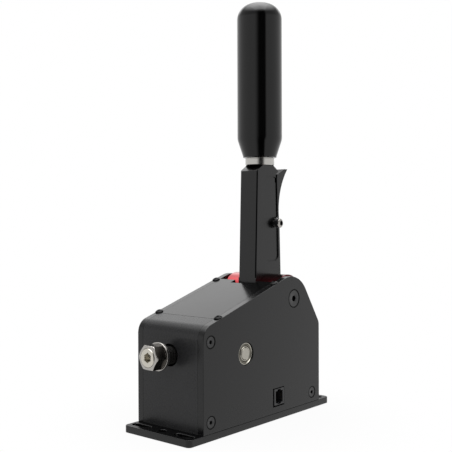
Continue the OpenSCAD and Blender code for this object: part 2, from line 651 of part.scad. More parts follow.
// Centre of the hollow behind the pad: on the side away from the lever, through both its ends
module hollow_centre(a, b, r) {
    mid = (a + b) / 2;
    d = unit(a - b);
    translate(mid + [d[1], -d[0]] * sqrt(r^2 - norm(a - b)^2 / 4)) children();
}
module trigger() color("#39393b") difference() {
    union() {
        difference() {
            across(-lever_w / 2, lever_w / 2) trigger_pad_outline();
            across(-flange_in, flange_in) polygon([
                [flange_y(pad_low) - 4, pad_low - 1], [web_y(pad_low - 1), pad_low - 1],
                [web_y(flange_top), flange_top], [flange_y(flange_top) - 4, flange_top]]);
        }
        across(-trigger_stem_w / 2, trigger_stem_w / 2) {
            polygon([[stem_front, trigger_z], [rim_y(stem_top) + 2.6, trigger_z], [rim_y(stem_top) + 2.6, stem_top],
                [stem_front, stem_top - 7]]);
            translate([trigger_y, trigger_z]) circle(trigger_boss_r);
        }
    }
    translate([0, trigger_y, trigger_z]) rod_x(trigger_screw_d + 2 * run, -half_w, half_w);
}
module trigger_screw() color("#c8c5be") translate([0, trigger_y, trigger_z]) rotate([0, 90, 0]) {
    difference() {
        union() {
            translate([0, 0, head_x]) button_screw(trigger_shoulder_d, trigger_head_d, trigger_head_h,
                head_x - lever_w / 2 + pocket_t - run, 3);
            translate([0, 0, -lever_w / 2 + 1.5]) cylinder(d = trigger_screw_d, h = lever_w / 2 + head_x - 2);
        }
        translate([0, 0, head_x + trigger_head_h * 0.35]) hexagon(3, trigger_head_h);
    }
}
function trigger_wire_path() = let (r = spring_r, c = [trigger_y, trigger_z],
    turns = spring_curls * 360 + spring_leg_turn, steps = round(turns / 45),
    end = [c[0] - r * cos(spring_leg_turn), c[1] + r * sin(spring_leg_turn)],
    out = [sin(spring_leg_turn), cos(spring_leg_turn)],
    foot_x = lever_w / 2 - pocket_t - spring_foot_l + 0.2,
    leg = (flange_y(trigger_z + 6) - trigger_wire_d / 2 - 0.35 - end[0]) / out[0])
    concat([for (x = [foot_x, foot_x + spring_foot_l, spring_x0 - 1.6]) [x, spring_foot[0], spring_foot[1]],
            [spring_x0 - 0.5, spring_foot[0], spring_foot[1] + 0.7]],
        [for (i = [0:steps]) let (a = turns * i / steps)
            [spring_x0 + (spring_x1 - spring_x0) * i / steps, c[0] - r * cos(a), c[1] + r * sin(a)]],
        [for (k = [[spring_x1 - 0.2, 0.3], [spring_x1 - 1.4, 0.65], [lever_w / 2 + 0.4, 0.93], [lever_w / 2 - 1, 1]])
            [k[0], end[0] + out[0] * leg * k[1], end[1] + out[1] * leg * k[1]]]);
module trigger_spring() {
    path = trigger_wire_path();
    echo(trigger_spring_self_gap = self_gap([for (i = [4:len(path) - 5]) path[i]], trigger_wire_d, 6));
    color("#161618") tube(path, trigger_wire_d / 2, [0, -1, 0]);
}
module trigger_switch() color("#202022") difference() {
    switch_box(0);
    translate([0, switch_y, trigger_z + plunger_lift]) rod_y(plunger_d + 2 * run, -3.4, 1);
}
module switch_plunger() color("#a82020") translate([0, 0, trigger_z + plunger_lift])
    rod_y(plunger_d, switch_y - 2.2, stem_front - play);

// Pull rod, main spring and swivel

module swivel_block() color("#58585c") {
    on_rod() difference() {
        box([-swivel_half_x, swivel_half_x], [-swivel_half_y, swivel_half_y], [-swivel_half_z, swivel_half_z]);
        rod_y(rod_d + 2 * run, -swivel_half_y - 1, swivel_half_y + 1);
    }
    translate([0, swivel_y, swivel_z]) for (m = [0, 1]) mirror([m, 0, 0]) {
        rod_x(swivel_d + 3, swivel_half_x - eps, inner - 0.4);
        rod_x(swivel_d, swivel_half_x - eps, half_w - 0.6);
    }
}
bearing_x = half_w - 1 - bearing_w;
bearing_gap = 0.35;
bearing_mid = (bearing_d + swivel_d) / 2 - 1.8;
module bearing_outer_rings() color("#b8b6b2") translate([0, swivel_y, swivel_z]) for (m = [0, 1]) mirror([m, 0, 0])
    difference() {
        ring_x(bearing_d, bearing_mid + bearing_gap, bearing_x, bearing_x + bearing_w);
        ring_x(bearing_d - 2, bearing_mid - 1, bearing_x + bearing_w - 0.3, bearing_x + bearing_w + 1);
    }
module bearing_inner_rings() color("#c4c1ba") translate([0, swivel_y, swivel_z]) for (m = [0, 1]) mirror([m, 0, 0])
    ring_x(bearing_mid - bearing_gap, swivel_d + 2 * press, bearing_x, bearing_x + bearing_w);

module pull_rod() color("#b8b6b2") on_rod() difference() {
    front = -stop_s - washer_t - nut_t - rod_end;
    neck_d = fork_w - 1.6;
    eye_w = fork_w - 1;
    union() {
        translate([0, front, 0]) rotate([-90, 0, 0])
            cylinder(d1 = thread_d - 0.8, d2 = thread_d, h = 0.4);
        rod_y(thread_d, front + 0.4, -seat_front_s);
        rod_y(rod_d, -seat_front_s - eps, swivel_half_y + 3);
        rod_y(neck_d, swivel_half_y + 3 - eps, rod_l - tail_w / 2 + 3);
        translate([0, rod_l, 0]) rod_x(tail_w - 2, -eye_w / 2, eye_w / 2);
    }
    translate([0, front - 1, 0]) rotate([-90, 0, 0]) hexagon(7, 7);
    translate([0, rod_l, 0]) rod_x(tail_pin_d + 1, -half_w, half_w);
}
module spring_seat() color("#9a9a9c") on_rod() difference() {
    rod_y(buffer_d, -seat_front_s + press, -seat_front_s + seat_t);
    rod_y(rod_d + 2 * press, -seat_front_s - 1, -seat_front_s + seat_t + 1);
}
module rest_buffer() color("#1a1a1a") on_rod() difference() {
    rod_y(buffer_d, -panel_s + block_wall + 0.15, -panel_s + block_wall + buffer_t);
    rod_y(thread_d + 3.4, -deep, deep);
}
module travel_buffer() color("#1a1a1a") on_rod() difference() {
    rod_y(washer_d - 1.4, -stop_s + press, -stop_s + bump_t);
    rod_y(thread_d + 2 * run, -deep, 0);
}
module travel_washer() color("#c4c1ba") on_rod() difference() {
    rod_y(washer_d, -stop_s - washer_t, -stop_s);
    rod_y(thread_d + 2 * run, -deep, 0);
}
module travel_nut() color("#c4c1ba") on_rod() difference() {
    y1 = -stop_s - washer_t - press;
    intersection() {
        translate([0, y1, 0]) rotate([90, 0, 0]) rotate([0, 0, -2.5]) hexagon(nut_af, nut_t);
        translate([0, y1, 0]) rotate([90, 0, 0]) rotate_extrude() polygon([[0, 0], [nut_af, 0],
            [nut_af, nut_t - 1.2 - nut_af * 0.27], [nut_af / 2 - 0.6, nut_t], [0, nut_t]]);
    }
    rod_y(thread_d + 2 * run, -deep, 0);
    translate([0, y1 - nut_t - eps, 0]) rotate([-90, 0, 0])
        cylinder(d1 = thread_d + 0.8, d2 = thread_d, h = 0.4);
}
function main_wire_path() = let (steps = round(8 * spring_turns), y0 = -seat_front_s + seat_t + spring_wire_d / 2 + play,
    y1 = -swivel_half_y - spring_wire_d / 2 - play)
    [for (i = [0:steps]) let (a = 360 * spring_turns * i / steps)
        [spring_mean_d / 2 * cos(a), y0 + (y1 - y0) * i / steps, spring_mean_d / 2 * sin(a)]];
module main_spring() {
    path = main_wire_path();
    echo(main_spring_self_gap = self_gap(path, spring_wire_d, 6));
    color("#a81c22") on_rod() tube(path, spring_wire_d / 2, [1, 0, 0]);
}

// Sensor and electronics

bracket_x = -lever_w / 2 - 6;
bracket_top = axle_z - hub_r - 4;
hall_z = [magnet_z - 9, magnet_z + 9];
module sensor_bracket() color("#8c8c90") {
    box([bracket_x - 2, bracket_x], [axle_y - 9, axle_y + 9], [base_t, bracket_top]);
    box([bracket_x - 12, bracket_x - 2 + eps], [axle_y - 9, axle_y + 9], [base_t, base_t + 2]);
}
module hall_board() color("#1f5a36") {
    box([bracket_x, bracket_x + board_t], [axle_y - 8, axle_y + 8], hall_z);
    box([bracket_x + board_t - eps, bracket_x + board_t + 1.2], [axle_y - 2, axle_y + 2],
        [magnet_z - 1.5, magnet_z + 1.5]);
}
board_x = [-12, inner - 1];
board_y = [port_y - port_w / 2 - 6, port_y + port_w / 2 + 6];
jack_l = 19;
port_seam = 0.7;
port_gap = 1.7;
jack_front = half_w - 0.05;
module board_corner_places() for (x = [board_x[0] + 3.5, board_x[1] - 3.5], y = [board_y[0] + 3, board_y[1] - 3])
    translate([x, y, 0]) children();
module main_board() color("#1f5a36") difference() {
    union() {
        box(board_x, board_y, [board_top - board_t, board_top]);
        box([-8, -1], [port_y - 3.5, port_y + 3.5], [board_top - eps, board_top + 1]);
        box([3, 8], [port_y - 6, port_y + 6], [board_top - eps, board_top + 3]);
    }
    board_corner_places() cylinder(d = 3.2, h = deep);
}
module board_standoffs() color("#c9a24a") board_corner_places() difference() {
    translate([0, 0, base_t]) cylinder(d = 5.5, h = port_lift - board_t);
    translate([0, 0, base_t + 0.8]) cylinder(d = 3 + 2 * press, h = port_lift);
}
module board_screws() color("#b8b6b2") board_corner_places() translate([0, 0, board_top])
    button_screw(3, 5.5, 1.6, port_lift - 1.2, 2);
module data_port() color("#19191b") difference() {
    box([half_w - 0.5 - jack_l, jack_front], [port_y - port_w / 2 + port_seam, port_y + port_w / 2 - play],
        [board_top, board_top + port_h - port_seam]);
    // The jack's nose is smaller than the cut-out, so a dark gap shows on three sides
    box([inner - 0.5, half_w], [port_y - port_w, port_y - port_w / 2 + port_gap], [0, board_top + port_h]);
    box([inner - 0.5, half_w], [port_y - port_w, port_y + port_w], [0, board_top + port_seam + 0.3]);
    z = board_top + port_h / 2;
    y = port_y + 0.9;
    box([half_w - 13, half_w], [y - 5, y + 5], [z - 5.2, z + 5.2]);
    box([half_w - 13, half_w], [y - 2.4, y + 2.4], [z - 6.3, z + 6.6]);
}
module sensor_lead() color("#2a2a2a") {
    d = 2.4;
    start = [bracket_x + d / 2 + 0.2, axle_y - 3, hall_z[0] - 0.2];
    finish = [-4.5, board_y[1] - 5, board_top + 0.2];
    tube([start, start - [0, 0, 8], [start[0], start[1], 36], [start[0] + 1, start[1] - 1, 26],
        [finish[0] - 4, finish[1] + 3, finish[2] + 9], [finish[0] - 1, finish[1] + 0.6, finish[2] + 5],
        [finish[0], finish[1], finish[2] + 2], finish], d / 2, [1, 0, 0], 8);
}

base_plate();
right_side_plate();
left_side_plate();
front_block();
top_cover();
rear_bar();
rear_panel();
side_screws();
axle_screws();
cover_screws();
base_screws();
rear_panel_screws();
lever_axle();
thrust_washers();
bearing_outer_rings();
rest_buffer();
travel_buffer();
sensor_bracket();
hall_board();
main_board();
data_port();
board_standoffs();
board_screws();
sensor_lead();
swivel_block();
bearing_inner_rings();
main_spring();
pull_rod();
spring_seat();
travel_washer();
travel_nut();
lever_arm();
right_hub_cheek();
left_hub_cheek();
hub_bushes();
hub_bolts();
tail_pin();
sensor_magnet();
grip_collar();
grip_stud();
grip();
trigger_screw();
trigger_spring();
trigger_switch();
switch_plunger();
trigger();
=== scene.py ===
# %% [markdown]
# # A sim racing handbrake, dressed for its portrait
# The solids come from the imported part: a box of black plates, a lever with a grip and a finger trigger, and a
# sprung pull rod. This lesson keeps those solids as the frame and adds what the eye looks for on machined metal:
# broken edges, turned rings, threads, spring wire and finishes. The frame is in metres and nothing in it moves.

# %% Load the frame
import json
import math
import bmesh
import bpy
from mathutils import Matrix, Vector


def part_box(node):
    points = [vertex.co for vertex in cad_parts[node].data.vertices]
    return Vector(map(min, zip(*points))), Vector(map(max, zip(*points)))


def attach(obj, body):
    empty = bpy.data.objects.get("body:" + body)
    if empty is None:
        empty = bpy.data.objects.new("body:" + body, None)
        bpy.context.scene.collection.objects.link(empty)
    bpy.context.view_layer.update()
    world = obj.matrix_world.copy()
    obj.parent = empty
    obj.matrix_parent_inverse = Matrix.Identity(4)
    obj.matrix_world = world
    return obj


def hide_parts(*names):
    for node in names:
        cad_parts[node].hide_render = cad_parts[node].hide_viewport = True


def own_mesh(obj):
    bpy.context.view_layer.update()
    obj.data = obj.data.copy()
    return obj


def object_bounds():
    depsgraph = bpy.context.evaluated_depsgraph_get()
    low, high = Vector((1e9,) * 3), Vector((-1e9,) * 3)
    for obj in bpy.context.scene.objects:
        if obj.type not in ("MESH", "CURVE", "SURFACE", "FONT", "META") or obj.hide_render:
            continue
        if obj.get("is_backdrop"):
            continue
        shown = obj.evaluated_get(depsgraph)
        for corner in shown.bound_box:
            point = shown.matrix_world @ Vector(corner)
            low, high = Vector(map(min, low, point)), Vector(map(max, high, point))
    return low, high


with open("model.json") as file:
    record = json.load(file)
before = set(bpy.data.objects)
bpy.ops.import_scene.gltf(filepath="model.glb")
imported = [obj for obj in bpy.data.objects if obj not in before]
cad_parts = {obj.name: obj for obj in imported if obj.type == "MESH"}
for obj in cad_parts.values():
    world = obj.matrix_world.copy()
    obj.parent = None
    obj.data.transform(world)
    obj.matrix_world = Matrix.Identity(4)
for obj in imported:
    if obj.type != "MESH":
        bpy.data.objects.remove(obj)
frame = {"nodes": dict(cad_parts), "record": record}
cad_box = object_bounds()
MM = 0.001
scene = bpy.context.scene

# %% [markdown]
# ## The camera
# The photograph was solved for its viewpoint from the straight edges of the box, whose width is known from the
# screws on it. A camera's matrix has three directions as its columns: right, up and backwards. Writing those
# columns from yaw, tilt and roll is plainer than juggling Euler angles, and it is exact.

# %% Camera
PHOTO_PX, FOCAL_PX, SENSOR_MM = 452, 780.585, 36
VIEWPOINT_MM = Vector((444.322, -532.261, 177.407))
yaw, tilt, roll = (math.radians(a) for a in (40.37, 0.66, -0.20))
level_right = Vector((math.cos(yaw), math.sin(yaw), 0))
level_ahead = Vector((-math.sin(yaw), math.cos(yaw), 0))
ahead = Vector((-math.sin(yaw) * math.cos(tilt), math.cos(yaw) * math.cos(tilt), -math.sin(tilt)))
level_up = level_right.cross(ahead)
right = level_right * math.cos(roll) + level_up * math.sin(roll)
up = level_up * math.cos(roll) - level_right * math.sin(roll)
lens_data = bpy.data.cameras.new("photo_camera")
lens_data.sensor_fit = "HORIZONTAL"
lens_data.sensor_width = SENSOR_MM
lens_data.lens = SENSOR_MM * FOCAL_PX / PHOTO_PX
lens_data.clip_start = 0.01
camera = bpy.data.objects.new("photo_camera", lens_data)
scene.collection.objects.link(camera)
camera.matrix_world = Matrix.Translation(VIEWPOINT_MM * MM) @ Matrix((right, up, -ahead)).transposed().to_4x4()
scene.camera = camera
print(f"lens {lens_data.lens:.1f} mm, {camera.location.length:.3f} m from the base")

# %% [markdown]
# ## Node helpers
# Every finish below is a small node tree. One function adds a node, sets what it is given and links what it is
# given, so a tree reads as a list of steps. Colours are written as the hex values that a screen shows, and one
# function turns them into the linear values that a renderer adds up.

# %% Node helpers
def linear(hex_colour):
    """The linear colour, with full opacity, of a screen's hex value."""
    channels = [int(hex_colour[i:i + 2], 16) / 255 for i in (1, 3, 5)]
    return tuple(c / 12.92 if c <= 0.04045 else ((c + 0.055) / 1.055) ** 2.4 for c in channels) + (1.0,)


def add(tree, kind, settings=None, inputs=None):
    """A new node, with its settings made and its inputs set or linked."""
    node = tree.nodes.new(kind)
    for name, value in (settings or {}).items():
        setattr(node, name, value)
    for name, value in (inputs or {}).items():
        if hasattr(value, "is_linked"):
            tree.links.new(value, node.inputs[name])
        else:
            node.inputs[name].default_value = value
    return node


# %% [markdown]
# ## Studio: white paper, soft light, one dark gap
# Black anodised metal is mostly a picture of what surrounds it. The photograph shows a white room with one dark
# gap, where the camera stands: it is the dark stripe down the grip, the dark band on the collar and the black
# bevel on the lever's corner. So the world is white, with a soft dark strip on the camera's side that only
# reflections see. A bright ceiling and a bright back wall give the cover and the grip's dome their sheen. Rays
# from the camera see plain white, and the floor fades to that white away from the object.

# %% Dark gap
SMOOTH, DOT = {"interpolation_type": "SMOOTHSTEP"}, {"operation": "DOT_PRODUCT"}
TIMES, LARGER = {"operation": "MULTIPLY"}, {"operation": "MAXIMUM"}


def dark_gap(tree, direction):
    """One inside the gap and nought outside it: a soft edge on the left, a crisp edge on the right."""
    level = add(tree, "ShaderNodeVectorMath", TIMES, {0: direction, 1: (1, 1, 0)})
    around = add(tree, "ShaderNodeVectorMath", {"operation": "NORMALIZE"}, {0: level.outputs[0]}).outputs[0]
    sideways = add(tree, "ShaderNodeVectorMath", DOT, {0: around, 1: tuple(level_right)}).outputs["Value"]
    towards = add(tree, "ShaderNodeVectorMath", DOT, {0: around, 1: tuple(-level_ahead)}).outputs["Value"]
    left_edge = add(tree, "ShaderNodeMapRange", SMOOTH, {"Value": sideways, "From Min": -0.50, "From Max": -0.05})
    right_edge = add(tree, "ShaderNodeMapRange", SMOOTH, {"Value": sideways, "From Min": 0.56, "From Max": 0.44})
    between = add(tree, "ShaderNodeMath", TIMES, {0: left_edge.outputs["Result"], 1: right_edge.outputs["Result"]})
    in_front = add(tree, "ShaderNodeMath", {"operation": "GREATER_THAN"}, {0: towards, 1: 0.0})
    return add(tree, "ShaderNodeMath", TIMES, {0: between.outputs[0], 1: in_front.outputs[0]}).outputs[0]


# %% World
GAP_LEVEL, UPPER_WALL, CEILING, BACK_WALL, AMBIENT = 0.02, 0.6, 4.5, 1.9, 0.6
world = bpy.data.worlds.new("white_studio")
scene.world = world
world.use_nodes = True
wt = world.node_tree
wt.nodes.clear()
facing = add(wt, "ShaderNodeTexCoord").outputs["Generated"]
height = add(wt, "ShaderNodeSeparateXYZ", None, {0: facing}).outputs["Z"]
behind = add(wt, "ShaderNodeVectorMath", DOT, {0: facing, 1: tuple(level_ahead)}).outputs["Value"]
walls = add(wt, "ShaderNodeMapRange", None, {"Value": dark_gap(wt, facing), "To Min": 1.0, "To Max": GAP_LEVEL})
upper = add(wt, "ShaderNodeMapRange", SMOOTH,
            {"Value": height, "From Min": 0.28, "From Max": 0.46, "To Min": 1.0, "To Max": UPPER_WALL})
ceiling = add(wt, "ShaderNodeMapRange", SMOOTH,
              {"Value": height, "From Min": 0.62, "From Max": 0.98, "To Min": 0.0, "To Max": CEILING})
low_room = add(wt, "ShaderNodeMath", {"operation": "MULTIPLY_ADD"},
               {0: walls.outputs["Result"], 1: upper.outputs["Result"], 2: ceiling.outputs["Result"]})
back_part = add(wt, "ShaderNodeMapRange", SMOOTH,
                {"Value": behind, "From Min": 0.45, "From Max": 0.75, "To Min": 0.0, "To Max": BACK_WALL})
back_high = add(wt, "ShaderNodeMapRange", SMOOTH, {"Value": height, "From Min": 0.26, "From Max": 0.46})
back_wall = add(wt, "ShaderNodeMath", TIMES, {0: back_part.outputs["Result"], 1: back_high.outputs["Result"]})
white_room = add(wt, "ShaderNodeMath", LARGER, {0: low_room.outputs[0], 1: back_wall.outputs[0]}).outputs[0]
paper, reflected, ambient = (
    add(wt, "ShaderNodeBackground", None, {"Color": linear("#ffffff"), "Strength": level}).outputs[0]
    for level in (1.0, white_room, AMBIENT))
ray = add(wt, "ShaderNodeLightPath").outputs
mirrored = add(wt, "ShaderNodeMath", LARGER, {0: ray["Is Glossy Ray"], 1: ray["Is Transmission Ray"]}).outputs[0]
lit = add(wt, "ShaderNodeMixShader", None, {0: mirrored, 1: ambient, 2: reflected}).outputs[0]
seen = add(wt, "ShaderNodeMixShader", None, {0: ray["Is Camera Ray"], 1: lit, 2: paper}).outputs[0]
add(wt, "ShaderNodeOutputWorld", None, {"Surface": seen})
scene.view_settings.view_transform = "Standard"
print("world:", len(wt.nodes), "nodes")

# %% Softbox
SOFTBOX_AT, SOFTBOX_AIM, SOFTBOX_SIDE, SOFTBOX_WATTS = Vector((0.12, -0.12, 1.25)), Vector((0, 0, 0.15)), 0.8, 3
light = bpy.data.lights.new("overhead_softbox", "AREA")
light.shape = "RECTANGLE"
light.size = light.size_y = SOFTBOX_SIDE
light.energy = SOFTBOX_WATTS
softbox = bpy.data.objects.new("overhead_softbox", light)
scene.collection.objects.link(softbox)
softbox.location = SOFTBOX_AT
softbox.rotation_euler = (SOFTBOX_AIM - SOFTBOX_AT).to_track_quat("-Z", "Y").to_euler()
print(f"softbox {SOFTBOX_AT.z:.2f} m up")

# %% Floor
FLOOR_REACH, FLOOR_Z, FLOOR_SHARE = 6.0, -0.0004, 0.95
floor_mesh = bpy.data.meshes.new("paper_floor")
floor_mesh.from_pydata([(x * FLOOR_REACH, y * FLOOR_REACH, FLOOR_Z) for x, y in ((-1, -1), (1, -1), (1, 1), (-1, 1))],
                       [], [(0, 1, 2, 3)])
paper_floor = bpy.data.objects.new("paper_floor", floor_mesh)
scene.collection.objects.link(paper_floor)
paper_finish = bpy.data.materials.new("white_paper")
paper_finish.use_nodes = True
pt = paper_finish.node_tree
pt.nodes.clear()
sight = add(pt, "ShaderNodeLightPath").outputs
spot = add(pt, "ShaderNodeTexCoord").outputs["Object"]
away = add(pt, "ShaderNodeVectorMath", {"operation": "LENGTH"}, {0: spot}).outputs["Value"]
fade = add(pt, "ShaderNodeMapRange", SMOOTH,
           {"Value": away, "From Min": 0.06, "From Max": 0.18, "To Min": FLOOR_SHARE, "To Max": 1.0})
far_off = add(pt, "ShaderNodeMapRange", None, {"Value": away, "From Min": 0.16, "From Max": 0.3})
in_gap = add(pt, "ShaderNodeMath", TIMES, {0: dark_gap(pt, spot), 1: far_off.outputs["Result"]})
gap_seen = add(pt, "ShaderNodeMath", TIMES, {0: in_gap.outputs[0], 1: sight["Is Glossy Ray"]})
glow_level = add(pt, "ShaderNodeMath", {"operation": "SUBTRACT"}, {0: 1.0, 1: gap_seen.outputs[0]})
matte = add(pt, "ShaderNodeBsdfDiffuse", None, {"Color": linear("#ececec")})
glow = add(pt, "ShaderNodeEmission", None, {"Color": linear("#ffffff"), "Strength": glow_level.outputs[0]})
straight = add(pt, "ShaderNodeMath", LARGER, {0: sight["Is Camera Ray"], 1: sight["Is Glossy Ray"]})
shown = add(pt, "ShaderNodeMath", LARGER, {0: straight.outputs[0], 1: sight["Is Transmission Ray"]})
share = add(pt, "ShaderNodeMath", TIMES, {0: shown.outputs[0], 1: fade.outputs["Result"]})
sheet = add(pt, "ShaderNodeMixShader", None, {0: share.outputs[0], 1: matte.outputs[0], 2: glow.outputs[0]})
add(pt, "ShaderNodeOutputMaterial", None, {"Surface": sheet.outputs[0]})
floor_mesh.materials.append(paper_finish)
paper_floor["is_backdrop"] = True
print("floor:", len(pt.nodes), "nodes")

# %% [markdown]
# ## Finishes
# Anodising is a thin dyed glass on aluminium, so it acts as a black dielectric: hardly any colour of its own
# under a clear reflection. What tells a bead-blasted plate from a polished grip is roughness and a fine grain.
# Steel is a true metal, and red anodising lets the metal shine through its dye. The real grains are a few
# hundredths of a millimetre, too fine for the picture, so they are drawn about one millimetre wide.

# %% Finish builder
CLOUD_MM, CLOUD_SHARE = 35, 0.6
FAINT, STRONG, RELIEF_M = 0.45, 1.15, 0.0001


def finish(name, hex_colour, metallic, roughness, grain_mm, colour_shift, rough_shift, bump, stretch=(1, 1, 1),
           **sockets):
    """A shader whose colour and roughness wander with a grain of the given size and with slow clouds."""
    material = bpy.data.materials.new(name)
    material.use_nodes = True
    tree = material.node_tree
    tree.nodes.clear()
    here = add(tree, "ShaderNodeTexCoord").outputs["Object"]
    stretched = add(tree, "ShaderNodeMapping", None, {"Vector": here, "Scale": stretch}).outputs[0]
    grain = add(tree, "ShaderNodeTexNoise", None,
                {"Vector": stretched, "Scale": 1 / (grain_mm * MM), "Detail": 3.0, "Roughness": 0.6}).outputs["Fac"]
    cloud = add(tree, "ShaderNodeTexNoise", None,
                {"Vector": here, "Scale": 1 / (CLOUD_MM * MM), "Detail": 2.0}).outputs["Fac"]
    both = add(tree, "ShaderNodeMath", {"operation": "MULTIPLY_ADD"},
               {0: cloud, 1: CLOUD_SHARE, 2: grain}).outputs[0]
    base = Vector(linear(hex_colour)[:3])
    # The vector inputs of this node share their names with its number inputs, so they go by place.
    tint = add(tree, "ShaderNodeMapRange", {"data_type": "FLOAT_VECTOR"},
               {"Vector": both, 7: (FAINT,) * 3, 8: (STRONG,) * 3, 9: base * (1 - colour_shift),
                10: base * (1 + colour_shift)}).outputs["Vector"]
    rough = add(tree, "ShaderNodeMapRange", None,
                {"Value": both, "From Min": FAINT, "From Max": STRONG, "To Min": roughness - rough_shift,
                 "To Max": roughness + rough_shift}).outputs["Result"]
    relief = add(tree, "ShaderNodeBump", None,
                 {"Strength": bump, "Distance": RELIEF_M, "Height": grain}).outputs["Normal"]
    shader = add(tree, "ShaderNodeBsdfPrincipled", None,
                 {"Base Color": tint, "Metallic": metallic, "Roughness": rough, "Normal": relief, **sockets})
    add(tree, "ShaderNodeOutputMaterial", None, {"Surface": shader.outputs[0]})
    return material


# %% Black finishes
# Bead blasting before anodising gives an even, slightly soft reflection with a fine sparkle.
blasted_black = finish("black_anodised_blasted_aluminium", "#050506", 0.0, 0.25, 1.1, 0.25, 0.04, 0.06, IOR=1.40)
# The front block is the plates' black anodising, painted lighter and made less reflective: painted light, so it keeps
# a flat, dull tone beside the bright nut.
painted_light_black = finish("black_anodised_painted_light", "#2c2c2d", 0.0, 0.28, 1.3, 0.2, 0.04, 0.06, IOR=1.30)
# The cover is blasted more finely, so the lever's foot is mirrored in it as a dark patch.
fine_black = finish("black_anodised_fine_blasted_aluminium", "#050506", 0.0, 0.2, 1.1, 0.25, 0.03, 0.05, IOR=1.31)
# The base's upward faces are painted nearly black and made less reflective than its edges: painted shade between the
# slots.
painted_shade_top_black = finish("black_anodised_painted_shade_top", "#020203", 0.0, 0.3, 1.1, 0.25, 0.04, 0.04, IOR=1.22)
# The lever is milled and only lightly blasted, so its faces mirror a little more sharply.
satin_black = finish("black_anodised_satin_aluminium", "#050506", 0.0, 0.24, 1.0, 0.25, 0.04, 0.05, IOR=1.42)
# The grip is turned and polished, which gives long clean stripes from top to bottom.
grip_black = finish("black_anodised_polished_aluminium", "#050505", 0.0, 0.14, 1.4, 0.25, 0.02, 0.008, IOR=1.385)
# Oiled black oxide is a dark film with a sharp small glint on the heads' rims.
black_oxide = finish("oiled_black_oxide_steel", "#08080a", 0.0, 0.30, 0.8, 0.25, 0.06, 0.04, IOR=1.5)
# Small button heads carry a heavier oil film, so only their crowns catch a light.
screw_black = finish("oiled_black_oxide_button_head", "#030304", 0.0, 0.26, 0.8, 0.25, 0.06, 0.03, IOR=1.2)
# A dull near-black painted into the countersinks and the trigger screw's socket and onto the trigger's upper faces:
# painted shade.
painted_shade_black = finish("black_painted_shade", "#040404", 0.0, 0.45, 0.8, 0.25, 0.06, 0.04, IOR=1.2)
# The rod's thread is painted a dull dark grey: painted shade for the dark zone behind the washer.
painted_shade_rod_grey = finish("rod_thread_painted_shade", "#151413", 0.0, 0.6, 0.8, 0.25, 0.06, 0.04, IOR=1.2)
# Hardened spring wire is drawn and blued, and looks nearly black with a long soft gleam.
spring_black = finish("blued_spring_wire", "#101012", 0.5, 0.32, 0.8, 0.2, 0.05, 0.03)
# Moulded rubber is dull and slightly dusty.
rubber = finish("moulded_black_rubber", "#121212", 0.0, 0.7, 1.0, 0.25, 0.06, 0.12)
# Glass-filled plastic takes the mould's fine spark texture.
port_plastic = finish("moulded_glass_filled_plastic", "#1c1c1e", 0.0, 0.42, 0.9, 0.2, 0.05, 0.06)
# The switch's case is a plainer moulding: an even dark grey with a soft sheen.
black_plastic = finish("moulded_switch_plastic", "#141415", 0.0, 0.40, 0.9, 0.15, 0.05, 0.05)
print("finishes so far:", len(bpy.data.materials))

# %% Bright finishes
# Turned steel is warm and bright, with faint rings that the tool left.
turned_steel = finish("turned_steel", "#c2beb4", 1.0, 0.24, 0.9, 0.08, 0.07, 0.03, stretch=(1, 5, 1))
# Milled steel is cut by a flat tool, so its faces are plain and a little greyer than turned ones.
milled_steel = finish("milled_steel", "#a6a39f", 1.0, 0.20, 0.9, 0.08, 0.05, 0.03)
# The nut's six flats are painted a darker steel than its bright turned face: a painted dark reflection.
painted_shade_flat_steel = finish("steel_painted_shade_flats", "#4d4a46", 1.0, 0.22, 0.9, 0.12, 0.05, 0.04)
# The collar is turned with a fine feed: its rings run around it and its band of light stays even.
collar_steel = finish("turned_steel_collar", "#b4b2ae", 1.0, 0.24, 0.9, 0.06, 0.06, 0.03, stretch=(1, 1, 6))
# Ground bearing steel is smoother and cooler than turned steel.
bearing_steel = finish("ground_bearing_steel", "#a3a097", 1.0, 0.22, 0.8, 0.06, 0.05, 0.02)
# A bearing's pressed shield is rolled sheet, a little darker than the rings beside it.
shield_steel = finish("pressed_steel_shield", "#6b685f", 1.0, 0.30, 0.8, 0.10, 0.06, 0.03)
# Red dye over bright metal: the reflection itself is red, and dark where it meets something dark.
red_anodised = finish("red_anodised_turned_aluminium", "#9c1a24", 1.0, 0.16, 0.9, 0.12, 0.04, 0.02, stretch=(4, 1, 1),
                      **{"Coat Weight": 0.6, "Coat Roughness": 0.14})
# The right cheek is the same red anodising as the left, painted a deep maroon: painted shade for the shadow between
# the lever and the plate.
painted_shade_red = finish("red_anodised_painted_shade", "#4a0e15", 1.0, 0.22, 0.9, 0.12, 0.04, 0.02,
                  stretch=(4, 1, 1))
# Enamel on the main spring is thick and glossy.
spring_red = finish("red_enamelled_spring_wire", "#8c141a", 0.0, 0.25, 1.0, 0.1, 0.05, 0.03)
# Clear anodising leaves the metal's own grey, softened to a satin.
plain_aluminium = finish("clear_anodised_aluminium", "#77777a", 1.0, 0.36, 0.9, 0.1, 0.06, 0.05)
# Sintered bronze is pressed from powder: warm, dull and finely pitted.
bronze = finish("sintered_bronze", "#9a7440", 1.0, 0.42, 0.6, 0.15, 0.06, 0.10)
# Turned brass is yellow and bright, with a soft edge to its reflections.
brass = finish("turned_brass", "#b79a55", 1.0, 0.28, 0.6, 0.1, 0.06, 0.04)
# Gold plating on contacts is thin and smooth, and stays yellow in the shade.
gold_contact = finish("gold_plated_contact", "#c9a04a", 1.0, 0.22, 0.5, 0.08, 0.05, 0.02)
# Nickel plate on the magnet is a cool, clear mirror.
nickel = finish("nickel_plated_magnet", "#b4b4b6", 1.0, 0.22, 0.7, 0.08, 0.05, 0.02)
print("finishes so far:", len(bpy.data.materials))

